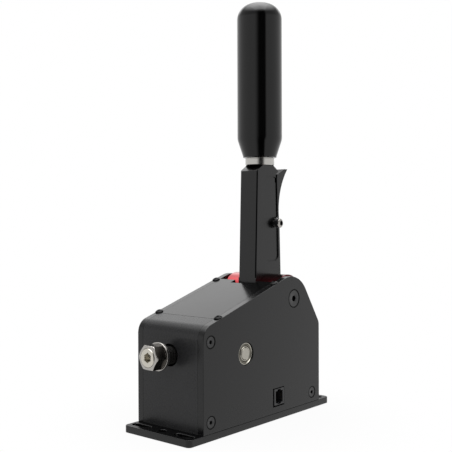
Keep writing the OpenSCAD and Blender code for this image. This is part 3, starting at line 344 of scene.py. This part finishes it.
# %% Finishes inside the box
# Nylon washers are waxy and pale.
nylon = finish("moulded_nylon", "#d9d4c5", 0.0, 0.5, 1.0, 0.05, 0.05, 0.04)
# Solder lacquer is a clear green gloss over the board's weave.
board_lacquer = finish("lacquered_circuit_board", "#16502c", 0.0, 0.3, 1.0, 0.15, 0.05, 0.03)
# The plunger's plastic is dyed through, so it is an even red with a soft sheen.
red_plastic = finish("moulded_red_plastic", "#8e1a1a", 0.0, 0.35, 0.7, 0.1, 0.05, 0.04)
# A lead's jacket is drawn through a die: smooth, soft and nearly black.
lead_jacket = finish("extruded_lead_jacket", "#1a1a1a", 0.0, 0.5, 0.8, 0.15, 0.05, 0.04)
print("finishes:", len(bpy.data.materials))

# %% [markdown]
# ## Finishes on the frame's own parts
# Parts whose shape is already right only need their finish. The record names a material slot for each part, so a
# table from slot to finish dresses them all, and a few parts that differ from their slot follow by name.

# %% Dress the frame
by_slot = {
    "black_plate": blasted_black, "black_lever": satin_black, "black_grip": grip_black, "red_hub": red_anodised,
    "black_screw": black_oxide, "spring_steel": spring_black, "main_spring_paint": spring_red, "steel": turned_steel,
    "grey_aluminium": plain_aluminium, "bronze": bronze, "brass": brass, "nylon": nylon, "rubber": rubber,
    "circuit_board": board_lacquer, "port_plastic": port_plastic, "plunger_plastic": red_plastic,
    "lead_jacket": lead_jacket, "magnet": nickel}
slot_of = {part["node"]: part["material_slot"] for part in frame["record"]["subparts"]}
body_of = {node: body for body, nodes in frame["record"]["behaviour"]["bodies"].items() for node in nodes}
finish_of = {node: by_slot[slot] for node, slot in slot_of.items()}
# The right cheek takes the painted shade red, and the front block the painted light black.
finish_of.update({
    "front_block": painted_light_black, "top_cover": fine_black, "right_hub_cheek": painted_shade_red, "grip_collar": collar_steel,
    "trigger_switch": black_plastic, "bearing_inner_rings": bearing_steel, "bearing_outer_rings": bearing_steel,
    "travel_nut": milled_steel, "travel_washer": milled_steel})
joint_of = {joint["name"]: joint for joint in frame["record"]["behaviour"]["joints"]}
for node, part in frame["nodes"].items():
    for place in part.material_slots:
        place.material = finish_of[node]
print("dressed", len(frame["nodes"]), "frame parts")

# %% [markdown]
# ## Broken edges
# No machined plate has a knife edge: a deburring tool leaves a flat of a few tenths of a millimetre, and that
# flat draws the thin light line along every edge. A copy of the part is merged into whole faces first, because
# the frame's meshes are loose triangles, and the normals stored with those triangles are dropped. Then a Bevel
# modifier cuts the sharp edges, except beside a face too narrow to give up the flat. Normals weighted by area
# keep the big faces flat, so that they reflect as plates and not as pillows.

# %% Pieces for parts
def keep(obj, node, *more):
    """The piece rides where its part rides and stands for it."""
    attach(obj, body_of[node])
    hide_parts(node, *more)
    return obj


def plain_mesh(obj):
    """Turns an object with modifiers into one with a plain mesh."""
    bpy.context.view_layer.update()
    mesh = bpy.data.meshes.new_from_object(obj.evaluated_get(bpy.context.evaluated_depsgraph_get()))
    obj.modifiers.clear()
    obj.data = mesh
    return obj


def new_object(name, mesh):
    obj = bpy.data.objects.new(name, mesh)
    scene.collection.objects.link(obj)
    return obj


# %% Edge breaker
WELD_M, FLAT_DEG, SHARP_DEG, NARROWEST = 0.000004, 0.6, 40, 1.2
PLATE_FACE_MM, HIDDEN_SHARE = 36.9, 0.25


def whole_faces(mesh):
    """A bmesh of the part with its triangles merged into whole, smooth faces."""
    for stored in [a for a in mesh.attributes if a.name == "custom_normal"]:
        mesh.attributes.remove(stored)
    shape = bmesh.new()
    shape.from_mesh(mesh)
    bmesh.ops.remove_doubles(shape, verts=shape.verts, dist=WELD_M)
    bmesh.ops.dissolve_limit(shape, angle_limit=math.radians(FLAT_DEG), verts=shape.verts, edges=shape.edges)
    for face in shape.faces:
        face.smooth = True
    return shape


def broken_edges(node, width_mm):
    """A deburred copy of a part. A side plate's inner edges, against the other parts, get a smaller flat."""
    mesh = frame["nodes"][node].data.copy()
    shape = whole_faces(mesh)
    chosen = shape.edges.layers.float.new("bevel_weight_edge")
    for edge in shape.edges:
        if len(edge.link_faces) == 2 and edge.calc_face_angle() > math.radians(SHARP_DEG):
            depth = min(face.calc_area() for face in edge.link_faces) / edge.calc_length()
            outside = min(abs(vertex.co.x) for vertex in edge.verts) > PLATE_FACE_MM * MM
            share = 1.0 if outside or "side_plate" not in node else HIDDEN_SHARE
            edge[chosen] = float(depth > NARROWEST * width_mm * MM) * share
    shape.to_mesh(mesh)
    shape.free()
    obj = new_object(node + "_deburred", mesh)
    bevel = obj.modifiers.new("deburr", "BEVEL")
    bevel.width = width_mm * MM
    bevel.segments = 2
    bevel.limit_method = "WEIGHT"
    bevel.use_clamp_overlap = False
    flat = obj.modifiers.new("flat_faces", "WEIGHTED_NORMAL")
    flat.mode = "FACE_AREA"
    flat.weight = 100
    return keep(plain_mesh(obj), node)


# %% Deburred parts
edge_break_mm = {
    "right_side_plate": 0.5, "left_side_plate": 0.5, "front_block": 0.15, "top_cover": 0.12, "base_plate": 0.6,
    "rear_panel": 0.4, "rear_bar": 0.4, "lever_arm": 0.2, "trigger": 0.3, "travel_washer": 0.3, "travel_nut": 0.25,
    "right_hub_cheek": 0.25, "left_hub_cheek": 0.25, "spring_seat": 0.4, "sensor_bracket": 0.3, "data_port": 0.15,
    "travel_buffer": 0.3, "swivel_block": 0.5}
deburred = {node: broken_edges(node, width) for node, width in edge_break_mm.items()}
for piece in deburred.values():
    print(piece.name, len(piece.data.polygons), "faces")

# %% Side pockets
# The photograph shows a shallower pocket than the solid has, so its floor moves out, and the inner faces of the
# trigger's flanges move out with it.
POCKET_SHIFT_MM, POCKET_LOW_MM, POCKET_HIGH_MM = 1.1, 120, 230
for node, x_from, x_to in (("lever_arm", 7.55, 8.05), ("trigger", 7.65, 8.35)):
    floor_points = [vertex for vertex in deburred[node].data.vertices
                    if x_from * MM < abs(vertex.co.x) < x_to * MM
                    and POCKET_LOW_MM * MM < vertex.co.z < POCKET_HIGH_MM * MM]
    for vertex in floor_points:
        vertex.co.x += math.copysign(POCKET_SHIFT_MM * MM, vertex.co.x)
    print(node, "has", len(floor_points), "points moved out at the pocket")

# %% [markdown]
# ## Two finishes on one part
# A part can carry two finishes: a shaft's ends are ground, and some faces take a painted shade, such as the nut's
# flats and the upper faces of the base and the trigger. Each face of a mesh names its material by number, so one
# function takes a test and gives the faces that pass it the second material.

# %% Second finishes
def second_finish(piece, material, passes):
    """Gives a second finish to the faces that pass a test."""
    mesh = piece.data
    mesh.materials.append(material)
    for face in mesh.polygons:
        face.material_index = int(passes(face))
    print(piece.name, "has", sum(face.material_index for face in mesh.polygons), "faces in", material.name)


nut_axis, nut_at = (Vector(joint_of["travel_nut_turn"][key]) for key in ("axis", "pos_m"))
NUT_FACE_MM, SHAFT_END_MM = 9, 18.2


def is_nut_flat(face):
    arm = nut_axis.cross(face.center - nut_at)
    return abs(face.normal.dot(nut_axis)) < 0.1 and arm.length > NUT_FACE_MM * MM


# The nut's flats take the darker steel: painted shade.
second_finish(deburred["travel_nut"], painted_shade_flat_steel, is_nut_flat)
# The base's upward faces take the painted shade black.
second_finish(deburred["base_plate"], painted_shade_top_black, lambda face: face.normal.z > 0.98)
# The trigger's upward faces take the near-black: painted shade on its top.
second_finish(deburred["trigger"], painted_shade_black, lambda face: face.normal.z > 0.5)
second_finish(deburred["swivel_block"], bearing_steel, lambda face: abs(face.center.x) > SHAFT_END_MM * MM)

# %% [markdown]
# ## Turned parts
# A lathe makes rings: each ring has a radius and a height, and the surface joins one ring to the next. A list of
# such pairs is the whole drawing of a grip or a collar. A hexagon socket fits the same list, since a ring may
# also be a hexagon with as many points as the circles have. This is exact and cheap, so 96 or more sides are used
# where the outline shows against white.

# %% Lathe
def turn(shape, rings, sides, place, loop=False, index=0):
    """Adds a turned solid to a bmesh. Each ring is (radius, height), or ("hex", half the flats, height), in mm."""
    made = []
    for ring in rings:
        row = []
        for k in range(sides):
            angle = math.tau * k / sides
            if ring[0] == "hex":
                radius, height = ring[1] / math.cos((angle + math.pi / 6) % (math.pi / 3) - math.pi / 6), ring[2]
            else:
                radius, height = ring
            point = Vector((radius * math.cos(angle), radius * math.sin(angle), height)) * MM
            row.append(shape.verts.new(place @ point))
        made.append(row)
    pairs = list(zip(made, made[1:])) + ([(made[-1], made[0])] if loop else [])
    faces = [shape.faces.new((low[k], low[(k + 1) % sides], high[(k + 1) % sides], high[k]))
             for low, high in pairs for k in range(sides)]
    if not loop:
        faces += [shape.faces.new(made[0][::-1]), shape.faces.new(made[-1])]
    for face in faces:
        face.material_index = index


def turned_piece(name, shape, finishes, sharp_deg=28):
    """Closes a bmesh of turned solids into an object, smooth but for its sharp corners."""
    bmesh.ops.recalc_face_normals(shape, faces=shape.faces)
    mesh = bpy.data.meshes.new(name)
    shape.to_mesh(mesh)
    shape.free()
    for material in finishes:
        mesh.materials.append(material)
    mesh.polygons.foreach_set("use_smooth", [True] * len(mesh.polygons))
    mesh.set_sharp_from_angle(angle=math.radians(sharp_deg))
    return new_object(name, mesh)


def arc(centre_r, centre_z, radius, start_deg, end_deg, steps):
    """Rings along an arc of the profile."""
    angles = [math.radians(start_deg + (end_deg - start_deg) * i / steps) for i in range(steps + 1)]
    return [(centre_r + radius * math.cos(a), centre_z + radius * math.sin(a)) for a in angles]


# %% Grip
LEVER_Y_MM, ROUND_SIDES, RING_SIDES = 39.0, 128, 96
low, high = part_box("grip")
grip_r, grip_l = (high.x - low.x) / 2 / MM, (high.z - low.z) / MM
lip_r, lip_h, taper_h, shoulder_r, top_r = 15.5, 1.2, 15.5, 14.0, 15.0
lean = math.degrees(math.atan2(grip_r - lip_r, taper_h))
back = shoulder_r * math.tan(math.radians(lean / 2))
shape = bmesh.new()
turn(shape, [(lip_r - 1.6, 0.35), (lip_r - 0.4, 0.0), (lip_r, 0.4), (lip_r, lip_h)]
     + arc(grip_r - shoulder_r, taper_h + lip_h + back, shoulder_r, -lean, 0, 10)
     + arc(grip_r - top_r, grip_l - top_r, top_r, 0, 90, 24),
     ROUND_SIDES, Matrix.Translation((0, LEVER_Y_MM * MM, low.z)))
keep(turned_piece("grip_turned", shape, [grip_black]), "grip")
print(f"grip {2 * grip_r:.1f} x {grip_l:.1f} mm")

# %% Collar
low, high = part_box("grip_collar")
collar_r, collar_h = (high.x - low.x) / 2 / MM, (high.z - low.z) / MM
bore_r, chamfer, groove = 5.1, 0.5, 0.18
shape = bmesh.new()
turn(shape, [(bore_r, 0.0), (collar_r - chamfer, 0.0), (collar_r, chamfer), (collar_r, collar_h - 1.5),
             (collar_r - groove, collar_h - 1.3), (collar_r - groove, collar_h - 1.1), (collar_r, collar_h - 0.9),
             (collar_r, collar_h - chamfer), (collar_r - chamfer, collar_h), (bore_r, collar_h)],
     ROUND_SIDES, Matrix.Translation((0, LEVER_Y_MM * MM, low.z)), loop=True)
keep(turned_piece("grip_collar_turned", shape, [collar_steel], 40), "grip_collar")
print(f"collar {2 * collar_r:.1f} x {collar_h:.1f} mm")

# %% [markdown]
# ## Swivel bearings
# The bright discs in the side plates are ball bearings: a chamfered outer ring, a pressed shield in a groove, a
# dark gap and an inner ring. The outer ring and its shield stay in the plate, and the inner ring turns with the
# swivel, so they are two pieces on two bodies. The lathe's list gives both.

# %% Bearings
low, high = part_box("bearing_outer_rings")
bearing_y, bearing_z = (low.y + high.y) / 2, (low.z + high.z) / 2
bearing_x, ring_r, ring_w = high.x, (high.y - low.y) / 2 / MM, 5.0
race_r, shield_r, inner_r, shaft_r = 8.0, 6.55, 6.2, 5.02
outer, inner = bmesh.new(), bmesh.new()
for side in (1, -1):
    place = (Matrix.Translation((side * (bearing_x - ring_w * MM), bearing_y, bearing_z))
             @ Matrix.Rotation(side * math.pi / 2, 4, "Y"))
    turn(outer, [(race_r, 0.3), (ring_r - 0.4, 0.0), (ring_r, 0.4), (ring_r, ring_w - 0.5), (ring_r - 0.5, ring_w),
                 (8.35, ring_w), (8.1, ring_w - 0.35), (race_r, ring_w - 0.6)], RING_SIDES, place, loop=True)
    turn(outer, [(shield_r, 0.6), (race_r, 0.6), (race_r, ring_w - 0.62), (7.75, ring_w - 0.25),
                 (7.3, ring_w - 0.18), (6.75, ring_w - 0.34), (shield_r, ring_w - 0.6)],
         RING_SIDES, place, loop=True, index=1)
    turn(inner, [(shaft_r, 0.3), (5.4, 0.0), (6.0, 0.0), (inner_r, 0.2), (inner_r, ring_w - 0.3),
                 (5.95, ring_w - 0.05), (5.45, ring_w - 0.05), (shaft_r, ring_w - 0.4)],
         RING_SIDES, place, loop=True)
keep(turned_piece("bearing_outer_rings_ground", outer, [bearing_steel, shield_steel], 20), "bearing_outer_rings")
keep(turned_piece("bearing_inner_rings_ground", inner, [bearing_steel], 20), "bearing_inner_rings")
print(f"bearings {2 * ring_r:.1f} mm, {2 * bearing_x / MM:.1f} mm over both")

# %% [markdown]
# ## Wire: springs, lead and thread
# A spring, a lead and a thread are one shape swept along a path, which is what Geometry Nodes do best. The tree
# takes a path of points, turns it into a curve and sweeps a round section of the wire's radius along it. The same
# tree serves all of them with other inputs. The result becomes a plain mesh, so the export sees it.

# %% Tree helpers
def named_tree(name, inputs, output):
    """A new tree with named inputs, and the sockets that those inputs come in by."""
    tree = bpy.data.node_groups.new(name, "GeometryNodeTree")
    for label, kind in inputs.items():
        tree.interface.new_socket(label, in_out="INPUT", socket_type=kind)
    tree.interface.new_socket(output, in_out="OUTPUT", socket_type="NodeSocketGeometry")
    return tree, add(tree, "NodeGroupInput").outputs


def swept(tree, path, radius, sides):
    """A round section swept along a path of edges."""
    line = add(tree, "GeometryNodeMeshToCurve", None, {"Mesh": path})
    section = add(tree, "GeometryNodeCurvePrimitiveCircle", {"mode": "RADIUS"},
                  {"Resolution": sides, "Radius": radius})
    return add(tree, "GeometryNodeCurveToMesh", None,
               {"Curve": line.outputs[0], "Profile Curve": section.outputs[0], "Fill Caps": True}).outputs[0]


def close_tree(tree, geometry, material):
    """Makes copies real, gives them their finish and hands them out."""
    whole = add(tree, "GeometryNodeRealizeInstances", None, {"Geometry": geometry})
    coloured = add(tree, "GeometryNodeSetMaterial", None, {"Geometry": whole.outputs[0], "Material": material})
    add(tree, "NodeGroupOutput", None, {0: coloured.outputs[0]})


def run_tree(obj, tree, **values):
    """Runs a tree on an object and keeps the result. An underscore stands for a space in an input's name."""
    modifier = obj.modifiers.new(tree.name, "NODES")
    modifier.node_group = tree
    ids = {item.name: item.identifier for item in tree.interface.items_tree if item.in_out == "INPUT"}
    for label, value in values.items():
        modifier[ids[label.replace("_", " ")]] = value
    return plain_mesh(obj)


# %% Wire tree
wire_tree, given = named_tree("wire_along_path", {
    "Path": "NodeSocketGeometry", "Wire radius": "NodeSocketFloat", "Wire sides": "NodeSocketInt",
    "Finish": "NodeSocketMaterial"}, "Wire")
sharp_wire = swept(wire_tree, given["Path"], given["Wire radius"], given["Wire sides"])
round_wire = add(wire_tree, "GeometryNodeSetShadeSmooth", None, {"Geometry": sharp_wire})
close_tree(wire_tree, round_wire.outputs[0], given["Finish"])
print("wire tree:", len(wire_tree.nodes), "nodes")


def path_object(name, points_mm):
    mesh = bpy.data.meshes.new(name)
    mesh.from_pydata([Vector(p) * MM for p in points_mm], [(i, i + 1) for i in range(len(points_mm) - 1)], [])
    return new_object(name, mesh)


def wire(name, points_mm, radius_mm, material, sides=16):
    return run_tree(path_object(name, points_mm), wire_tree, Wire_radius=radius_mm * MM, Wire_sides=sides,
                    Finish=material)


def smooth_path(points, steps):
    """A smooth curve through points, so that a bent wire has no kinks."""
    points = [Vector(p) for p in points]
    ends = [2 * points[0] - points[1]] + points + [2 * points[-1] - points[-2]]
    curve = []
    for a, b, c, d in zip(ends, ends[1:], ends[2:], ends[3:]):
        for i in range(steps):
            t = i / steps
            curve.append(0.5 * (2 * b + (c - a) * t + (2 * a - 5 * b + 4 * c - d) * t * t
                                + (3 * b - a - 3 * c + d) * t ** 3))
    return curve + [points[-1]]


# %% Main spring
swivel_at = Vector(joint_of["swivel_tilt"]["pos_m"]) / MM
rod_way = Vector(joint_of["rod_slide"]["axis"]).normalized()
across = Vector((1, 0, 0))
rod_up = across.cross(rod_way)


def on_rod(x, s, z):
    """A point given by its place across the rod, along it and above it, in mm from the swivel."""
    return swivel_at + across * x + rod_way * s + rod_up * z


def helix_on_rod(radius, first, rise, steps, count):
    """Points of a helix around the rod: its start, its rise per turn and its points per turn and in all."""
    turns = [i / steps for i in range(count + 1)]
    return [on_rod(radius * math.cos(math.tau * t), first + rise * t, radius * math.sin(math.tau * t)) for t in turns]


spring_r, wire_r, curls, curl_steps, spring_low, spring_high = 10.0, 1.6, 4.5, 48, -38.944, -11.0
first, last = spring_low + wire_r + 0.1, spring_high - wire_r - 0.1
main_spring = wire("main_spring_wire", helix_on_rod(spring_r, first, (last - first) / curls, curl_steps,
                                                    int(curl_steps * curls)), wire_r, spring_red, 20)
keep(main_spring, "main_spring")
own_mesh(main_spring)

# %% Trigger spring
trigger_at = Vector(joint_of["trigger_squeeze"]["pos_m"]) / MM
coil_r, fine_r, curl_n, leg, leg_l = 3.95, 0.55, 2, math.radians(60), 4.23
coil_pitch, coil_steps, foot_drop = 1.35, 132, 2.4
x_first = 10.65
x_last = x_first + coil_pitch * (curl_n + 1 / 6)
bent_foot = [(x, trigger_at.y - coil_r, trigger_at.z - foot_drop + up_by) for x, up_by in
             ((5.4, 0), (8.0, 0), (x_first - 1.6, 0), (x_first - 0.5, 0.7))]
sweep = curl_n * math.tau + leg
coil = [(x_first + (x_last - x_first) * i / coil_steps, trigger_at.y - coil_r * math.cos(sweep * i / coil_steps),
         trigger_at.z + coil_r * math.sin(sweep * i / coil_steps)) for i in range(coil_steps + 1)]
bent_tip = [(x, coil[-1][1] + math.sin(leg) * far, coil[-1][2] + math.cos(leg) * far) for x, far in
            ((x_last - 0.2, 0.3 * leg_l), (x_last - 1.4, 0.65 * leg_l), (10.4, 0.93 * leg_l), (9.0, leg_l))]
spring_path = (smooth_path(bent_foot + [coil[0]], 6)[:-1] + [Vector(p) for p in coil[:-1]]
               + smooth_path([coil[-1]] + bent_tip, 6))
keep(wire("trigger_spring_wire", spring_path, fine_r, spring_black, 14), "trigger_spring")
print(f"trigger spring {curl_n} curls of {2 * fine_r:.1f} mm wire")

# %% Sensor lead
magnet_z = (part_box("sensor_magnet")[0].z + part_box("sensor_magnet")[1].z) / 2 / MM
start, end, lead_r = Vector((-14.6, 38.0, magnet_z - 9.2)), Vector((-4.5, 26.3, 11.9)), 1.15
lead_path = smooth_path([start, start - Vector((0, 0, 8)), (start.x, start.y, 36), (start.x + 1, start.y - 1, 26),
                         end + Vector((-4, 3, 9)), end + Vector((-1, 0.6, 5)), end + Vector((0, 0, 2)), end], 6)
lead = wire("sensor_lead_jacket", lead_path, lead_r, lead_jacket, 12)
keep(lead, "sensor_lead")
print("sensor lead", len(lead.data.polygons), "faces")

# %% [markdown]
# ## Pull rod
# The rod is turned from one bar: a chamfered end with a hexagon socket, a threaded length for the travel nut, a
# ground length that slides in the swivel block, and an eye on a thinner neck for the lever's pin. A cut thread
# takes metal away, so the rod's core is turned down there and the thread's crest is wound back on with the wire
# tree. The crest stays inside the bar's old outline, and so inside the nut. The thread is painted dark grey, a
# painted shade for the dark zone behind the washer, and only the tip in front of the nut is bright.

# %% Rod
rod_tip, thread_end, shoulder_at, neck_at, neck_end, eye_at = -78.344, -46.5, -42.95, 14.0, 61.8, 68.757
front_r, core_r, rod_r, neck_r, socket_half, eye_r, pin_r = 7.5, 6.9, 6.0, 4.7, 3.5, 9.0, 4.5
rod_axes = Matrix((across, rod_way.cross(across), rod_way)).transposed().to_4x4()
shape = bmesh.new()
turn(shape, [("hex", socket_half, rod_tip + 6), ("hex", socket_half, rod_tip + 0.35), (4.35, rod_tip),
             (front_r - 0.4, rod_tip), (front_r, rod_tip + 0.4), (front_r, rod_tip + 1.4), (core_r, rod_tip + 2.0),
             (core_r, thread_end), (front_r, thread_end + 0.7), (front_r, shoulder_at - 0.4),
             (front_r - 0.4, shoulder_at), (rod_r, shoulder_at), (rod_r, neck_at - 0.6), (rod_r - 0.6, neck_at),
             (neck_r, neck_at), (neck_r, neck_end)], RING_SIDES, Matrix.Translation(swivel_at * MM) @ rod_axes)
eye_place = Matrix.Translation(on_rod(0, eye_at, 0) * MM) @ Matrix.Rotation(math.pi / 2, 4, "Y")
turn(shape, [(pin_r, -4.6), (pin_r + 0.4, -5.0), (eye_r - 0.5, -5.0), (eye_r, -4.5), (eye_r, 4.5), (eye_r - 0.5, 5.0),
             (pin_r + 0.4, 5.0), (pin_r, 4.6)], 64, eye_place, loop=True)
rod = keep(turned_piece("pull_rod_turned", shape, [turned_steel]), "pull_rod")


def is_thread(face):
    along = (face.center / MM - swivel_at).dot(rod_way)
    outwards = face.normal.dot(face.center - on_rod(0, along, 0) * MM) > 0
    return rod_tip + 1.5 < along < shoulder_at and outwards


# The rod's threaded length is painted dark grey: painted shade behind the washer.
second_finish(rod, painted_shade_rod_grey, is_thread)

# %% Thread
thread_pitch, thread_steps, crest_r = 2.0, 24, 0.48
thread_n = int((thread_end - rod_tip - 2.0) / thread_pitch * thread_steps)
# The thread's crest takes the same painted shade grey.
thread = wire("pull_rod_thread", helix_on_rod(core_r + 0.1, rod_tip + 1.8, thread_pitch, thread_steps, thread_n),
              crest_r, painted_shade_rod_grey, 6)
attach(thread, "rod")
print(f"rod tip at {rod_tip:.1f} mm, thread of {thread_n / thread_steps:.0f} turns")

# %% [markdown]
# ## Screws
# The same few screws repeat all over the box, so each kind is turned once and a Geometry Nodes tree sets it on a
# list of places. Every place carries a vector for the way the head faces. A random turn with a fixed seed keeps
# the sockets from lining up, as they do not on an assembled machine. Each kind is one piece on one body.

# %% Screw tree
screw_tree, given = named_tree("screws_on_places", {
    "Places": "NodeSocketGeometry", "Screw": "NodeSocketObject", "Most turn": "NodeSocketFloat",
    "Seed": "NodeSocketInt", "Finish": "NodeSocketMaterial"}, "Screws")
pattern = add(screw_tree, "GeometryNodeObjectInfo", None, {"Object": given["Screw"]})
faces_to = add(screw_tree, "GeometryNodeInputNamedAttribute", {"data_type": "FLOAT_VECTOR"}, {"Name": "faces_to"})
upright = add(screw_tree, "FunctionNodeAlignRotationToVector", {"axis": "Z"}, {"Vector": faces_to.outputs[0]})
# The node's number inputs share their names with its vector inputs, so the upper limit goes by place.
chance = add(screw_tree, "FunctionNodeRandomValue", {"data_type": "FLOAT"},
             {3: given["Most turn"], "Seed": given["Seed"]})
spin = add(screw_tree, "FunctionNodeAxisAngleToRotation", None, {"Axis": (0, 0, 1), "Angle": chance.outputs[1]})
turned_by = add(screw_tree, "FunctionNodeRotateRotation", {"rotation_space": "LOCAL"},
                {"Rotation": upright.outputs[0], "Rotate By": spin.outputs[0]})
spread = add(screw_tree, "GeometryNodeInstanceOnPoints", None, {
    "Points": given["Places"], "Instance": pattern.outputs["Geometry"], "Rotation": turned_by.outputs[0]})
close_tree(screw_tree, spread.outputs[0], given["Finish"])
print("screw tree:", len(screw_tree.nodes), "nodes")


# %% Screw kinds
def screws(node, rings, places, seed, coat=black_oxide):
    """Turns one screw and sets it on places, each a point in mm and the way the head faces."""
    shape = bmesh.new()
    turn(shape, rings, 48, Matrix())
    one_screw = turned_piece(node + "_pattern", shape, [coat], 25)
    mesh = bpy.data.meshes.new(node + "_heads")
    mesh.from_pydata([Vector(p) * MM for p, _ in places], [], [])
    mesh.attributes.new("faces_to", "FLOAT_VECTOR", "POINT").data.foreach_set(
        "vector", [value for _, way in places for value in way])
    obj = run_tree(new_object(node + "_heads", mesh), screw_tree, Screw=one_screw, Most_turn=math.tau, Seed=seed,
                   Finish=coat)
    bpy.data.objects.remove(one_screw)
    print(node, len(places), "screws,", len(obj.data.polygons), "faces")
    return keep(obj, node)


# A hexagon's corners lie on a circle whose radius is this share of its width over the flats.
CORNER_SHARE = 0.577


def countersunk(d, head_d, length, socket):
    """Rings of a flat-headed screw, whose head ends at height nought."""
    return [(d / 2 - 0.4, -length), (d / 2, -length + 0.4), (d / 2, (d - head_d) / 2), (head_d / 2 - 0.1, -0.1),
            (head_d / 2 - 0.3, 0), (socket * CORNER_SHARE + 0.25, 0), ("hex", socket / 2, -0.2),
            ("hex", socket / 2, -head_d / 5), (0.05, -head_d / 5 - socket * 0.12)]


def button(d, head_d, head_h, length, socket):
    """Rings of a dome-headed screw, whose head stands on height nought."""
    ball = head_d * 0.72
    rim, hole = head_d / 2, socket * CORNER_SHARE + 0.15
    radii = [rim + (hole - rim) * i / 7 for i in range(8)]
    dome = [(r, head_h - ball + math.sqrt(ball ** 2 - r ** 2)) for r in radii]
    key_floor = head_h * 0.35
    return ([(d / 2 - 0.3, -length), (d / 2, -length + 0.3), (d / 2, 0.0), (rim - 0.1, 0.0), (rim, 0.15)] + dome
            + [("hex", socket / 2, dome[-1][1] - 0.2), ("hex", socket / 2, key_floor), (0.05, key_floor - 0.2)])


# %% Screws of the plates
HALF_W_MM, SUNK_MM, SIDE_SINK_R, AXLE_SINK_R = 37.0, 0.25, 6.2, 9.2
front_y, rear_y, low_z, high_z, base_x = -72.0, 69.0, 15.0, 78.6, 11
axle_at = Vector(joint_of["lever_pull"]["pos_m"]) / MM
side_spots = [(front_y, low_z), (front_y, high_z), (rear_y, low_z)]
axle_spots = [(axle_at.y, axle_at.z)]
sinks = [(y, z, SIDE_SINK_R) for y, z in side_spots] + [(y, z, AXLE_SINK_R) for y, z in axle_spots]


# The countersinks' cones take the near-black: painted shade in the recess around each head.
def is_sink(face):
    y, z = face.center.y / MM, face.center.z / MM
    return abs(face.normal.x) < 0.98 and any(math.hypot(y - sink_y, z - sink_z) < r for sink_y, sink_z, r in sinks)


def on_sides(spots):
    return [((s * (HALF_W_MM - SUNK_MM), y, z), (s, 0, 0)) for s in (1, -1) for y, z in spots]


for node in ("right_side_plate", "left_side_plate"):
    second_finish(deburred[node], painted_shade_black, is_sink)
screws("side_screws", countersunk(5, 9.3, 20, 3), on_sides(side_spots), 3)
screws("axle_screws", countersunk(8, 15.0, 21.2, 5), on_sides(axle_spots), 5)
screws("base_screws", countersunk(5, 10, 18, 3),
       [((x, y, SUNK_MM), (0, 0, -1)) for x in (base_x, -base_x) for y in (front_y, rear_y)], 7)

# %% Screws of the cover and the rear panel
slope = math.radians(17)
uphill, off_slope = Vector((0, math.cos(slope), math.sin(slope))), Vector((0, -math.sin(slope), math.cos(slope)))
cover_edge, cover_x = Vector((0, -81.0, 89.5)), 33.4
seam_run, notch_run = 19.8 + 0.15, 41 - 23.5 + 81
cover_u = (seam_run / math.cos(slope) + 1.9, notch_run / math.cos(slope) - 2.3)
screws("cover_screws", button(4, 7, 2, 10, 2.5),
       [(cover_edge + uphill * u + Vector((s * cover_x, 0, 0)), off_slope) for s in (1, -1) for u in cover_u],
       11, screw_black)
screws("rear_panel_screws", button(4, 7, 2, 11, 2.5), [((s * 24.0, 81.0, 20.2), (0, 1, 0)) for s in (1, -1)],
       13, screw_black)

# %% Trigger screw
head_x, stem_r, collar_x, hub_r, key_half, socket_r = x_last + fine_r + 0.15, 2.5, 7.9, 2.8, 2.0, 2.25
shape = bmesh.new()
turn(shape, [(stem_r - 0.4, -8.5), (stem_r, -8.1), (stem_r, collar_x), (hub_r, collar_x), (hub_r, head_x)]
     + [(r, z + head_x) for r, z in button(5.6, 8.4, 2.2, 1, 4)[3:-3]]
     + [("hex", key_half, head_x + 1.8), ("hex", key_half, head_x + 0.78), (0.05, head_x + 0.6)], 72,
     Matrix.Translation(Vector((0, trigger_at.y, trigger_at.z)) * MM) @ Matrix.Rotation(math.pi / 2, 4, "Y"))
pivot = keep(turned_piece("trigger_screw_turned", shape, [milled_steel], 25), "trigger_screw")


# The socket's walls take the near-black: painted shade in the recess.
def is_socket(face):
    off_axis = math.hypot(face.center.y / MM - trigger_at.y, face.center.z / MM - trigger_at.z)
    return off_axis < socket_r and face.center.x / MM > head_x + 0.4


second_finish(pivot, painted_shade_black, is_socket)

# %% [markdown]
# ## Contacts in the data port
# Inside the port's opening a row of sprung gold wires waits for the plug. One bent wire is swept and then set
# along a row by a tree with a count and a spacing, because all of them are alike.

# %% Port contacts
row_tree, given = named_tree("contacts_in_a_row", {
    "Contact path": "NodeSocketGeometry", "Wire radius": "NodeSocketFloat", "Count": "NodeSocketInt",
    "Spacing": "NodeSocketVector", "Finish": "NodeSocketMaterial"}, "Contacts")
contact = swept(row_tree, given["Contact path"], given["Wire radius"], 8)
row = add(row_tree, "GeometryNodeMeshLine", {"mode": "OFFSET"}, {"Count": given["Count"], "Offset": given["Spacing"]})
spread = add(row_tree, "GeometryNodeInstanceOnPoints", None, {"Points": row.outputs[0], "Instance": contact})
close_tree(row_tree, spread.outputs[0], given["Finish"])
low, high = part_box("data_port")
port_y, first_z = (low.y + high.y) / 2 / MM, 19.7 - 4.2
contact_r, contact_gap, contact_n = 0.25, 1.68, 6
bend = smooth_path([(x, port_y + y, first_z) for x, y in ((24.2, 4.4), (27.0, 4.1), (30.5, 1.6), (33.0, 2.0))], 4)
contacts = run_tree(path_object("port_contacts", bend), row_tree, Wire_radius=contact_r * MM, Count=contact_n,
                    Spacing=(0, 0, contact_gap * MM), Finish=gold_contact)
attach(contacts, "housing")
print("port contacts", len(contacts.data.polygons), "faces")

# %% [markdown]
# ## Closing
# The lesson ends by measuring itself: the frame's box from the start and the dressed object's box now, so that a
# piece that stands too proud is noticed.

# %% Measure and finish
visual_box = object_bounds()
for label, corners in (("frame", cad_box), ("dressed", visual_box)):
    print(label, [[round(value, 4) for value in corner] for corner in corners])
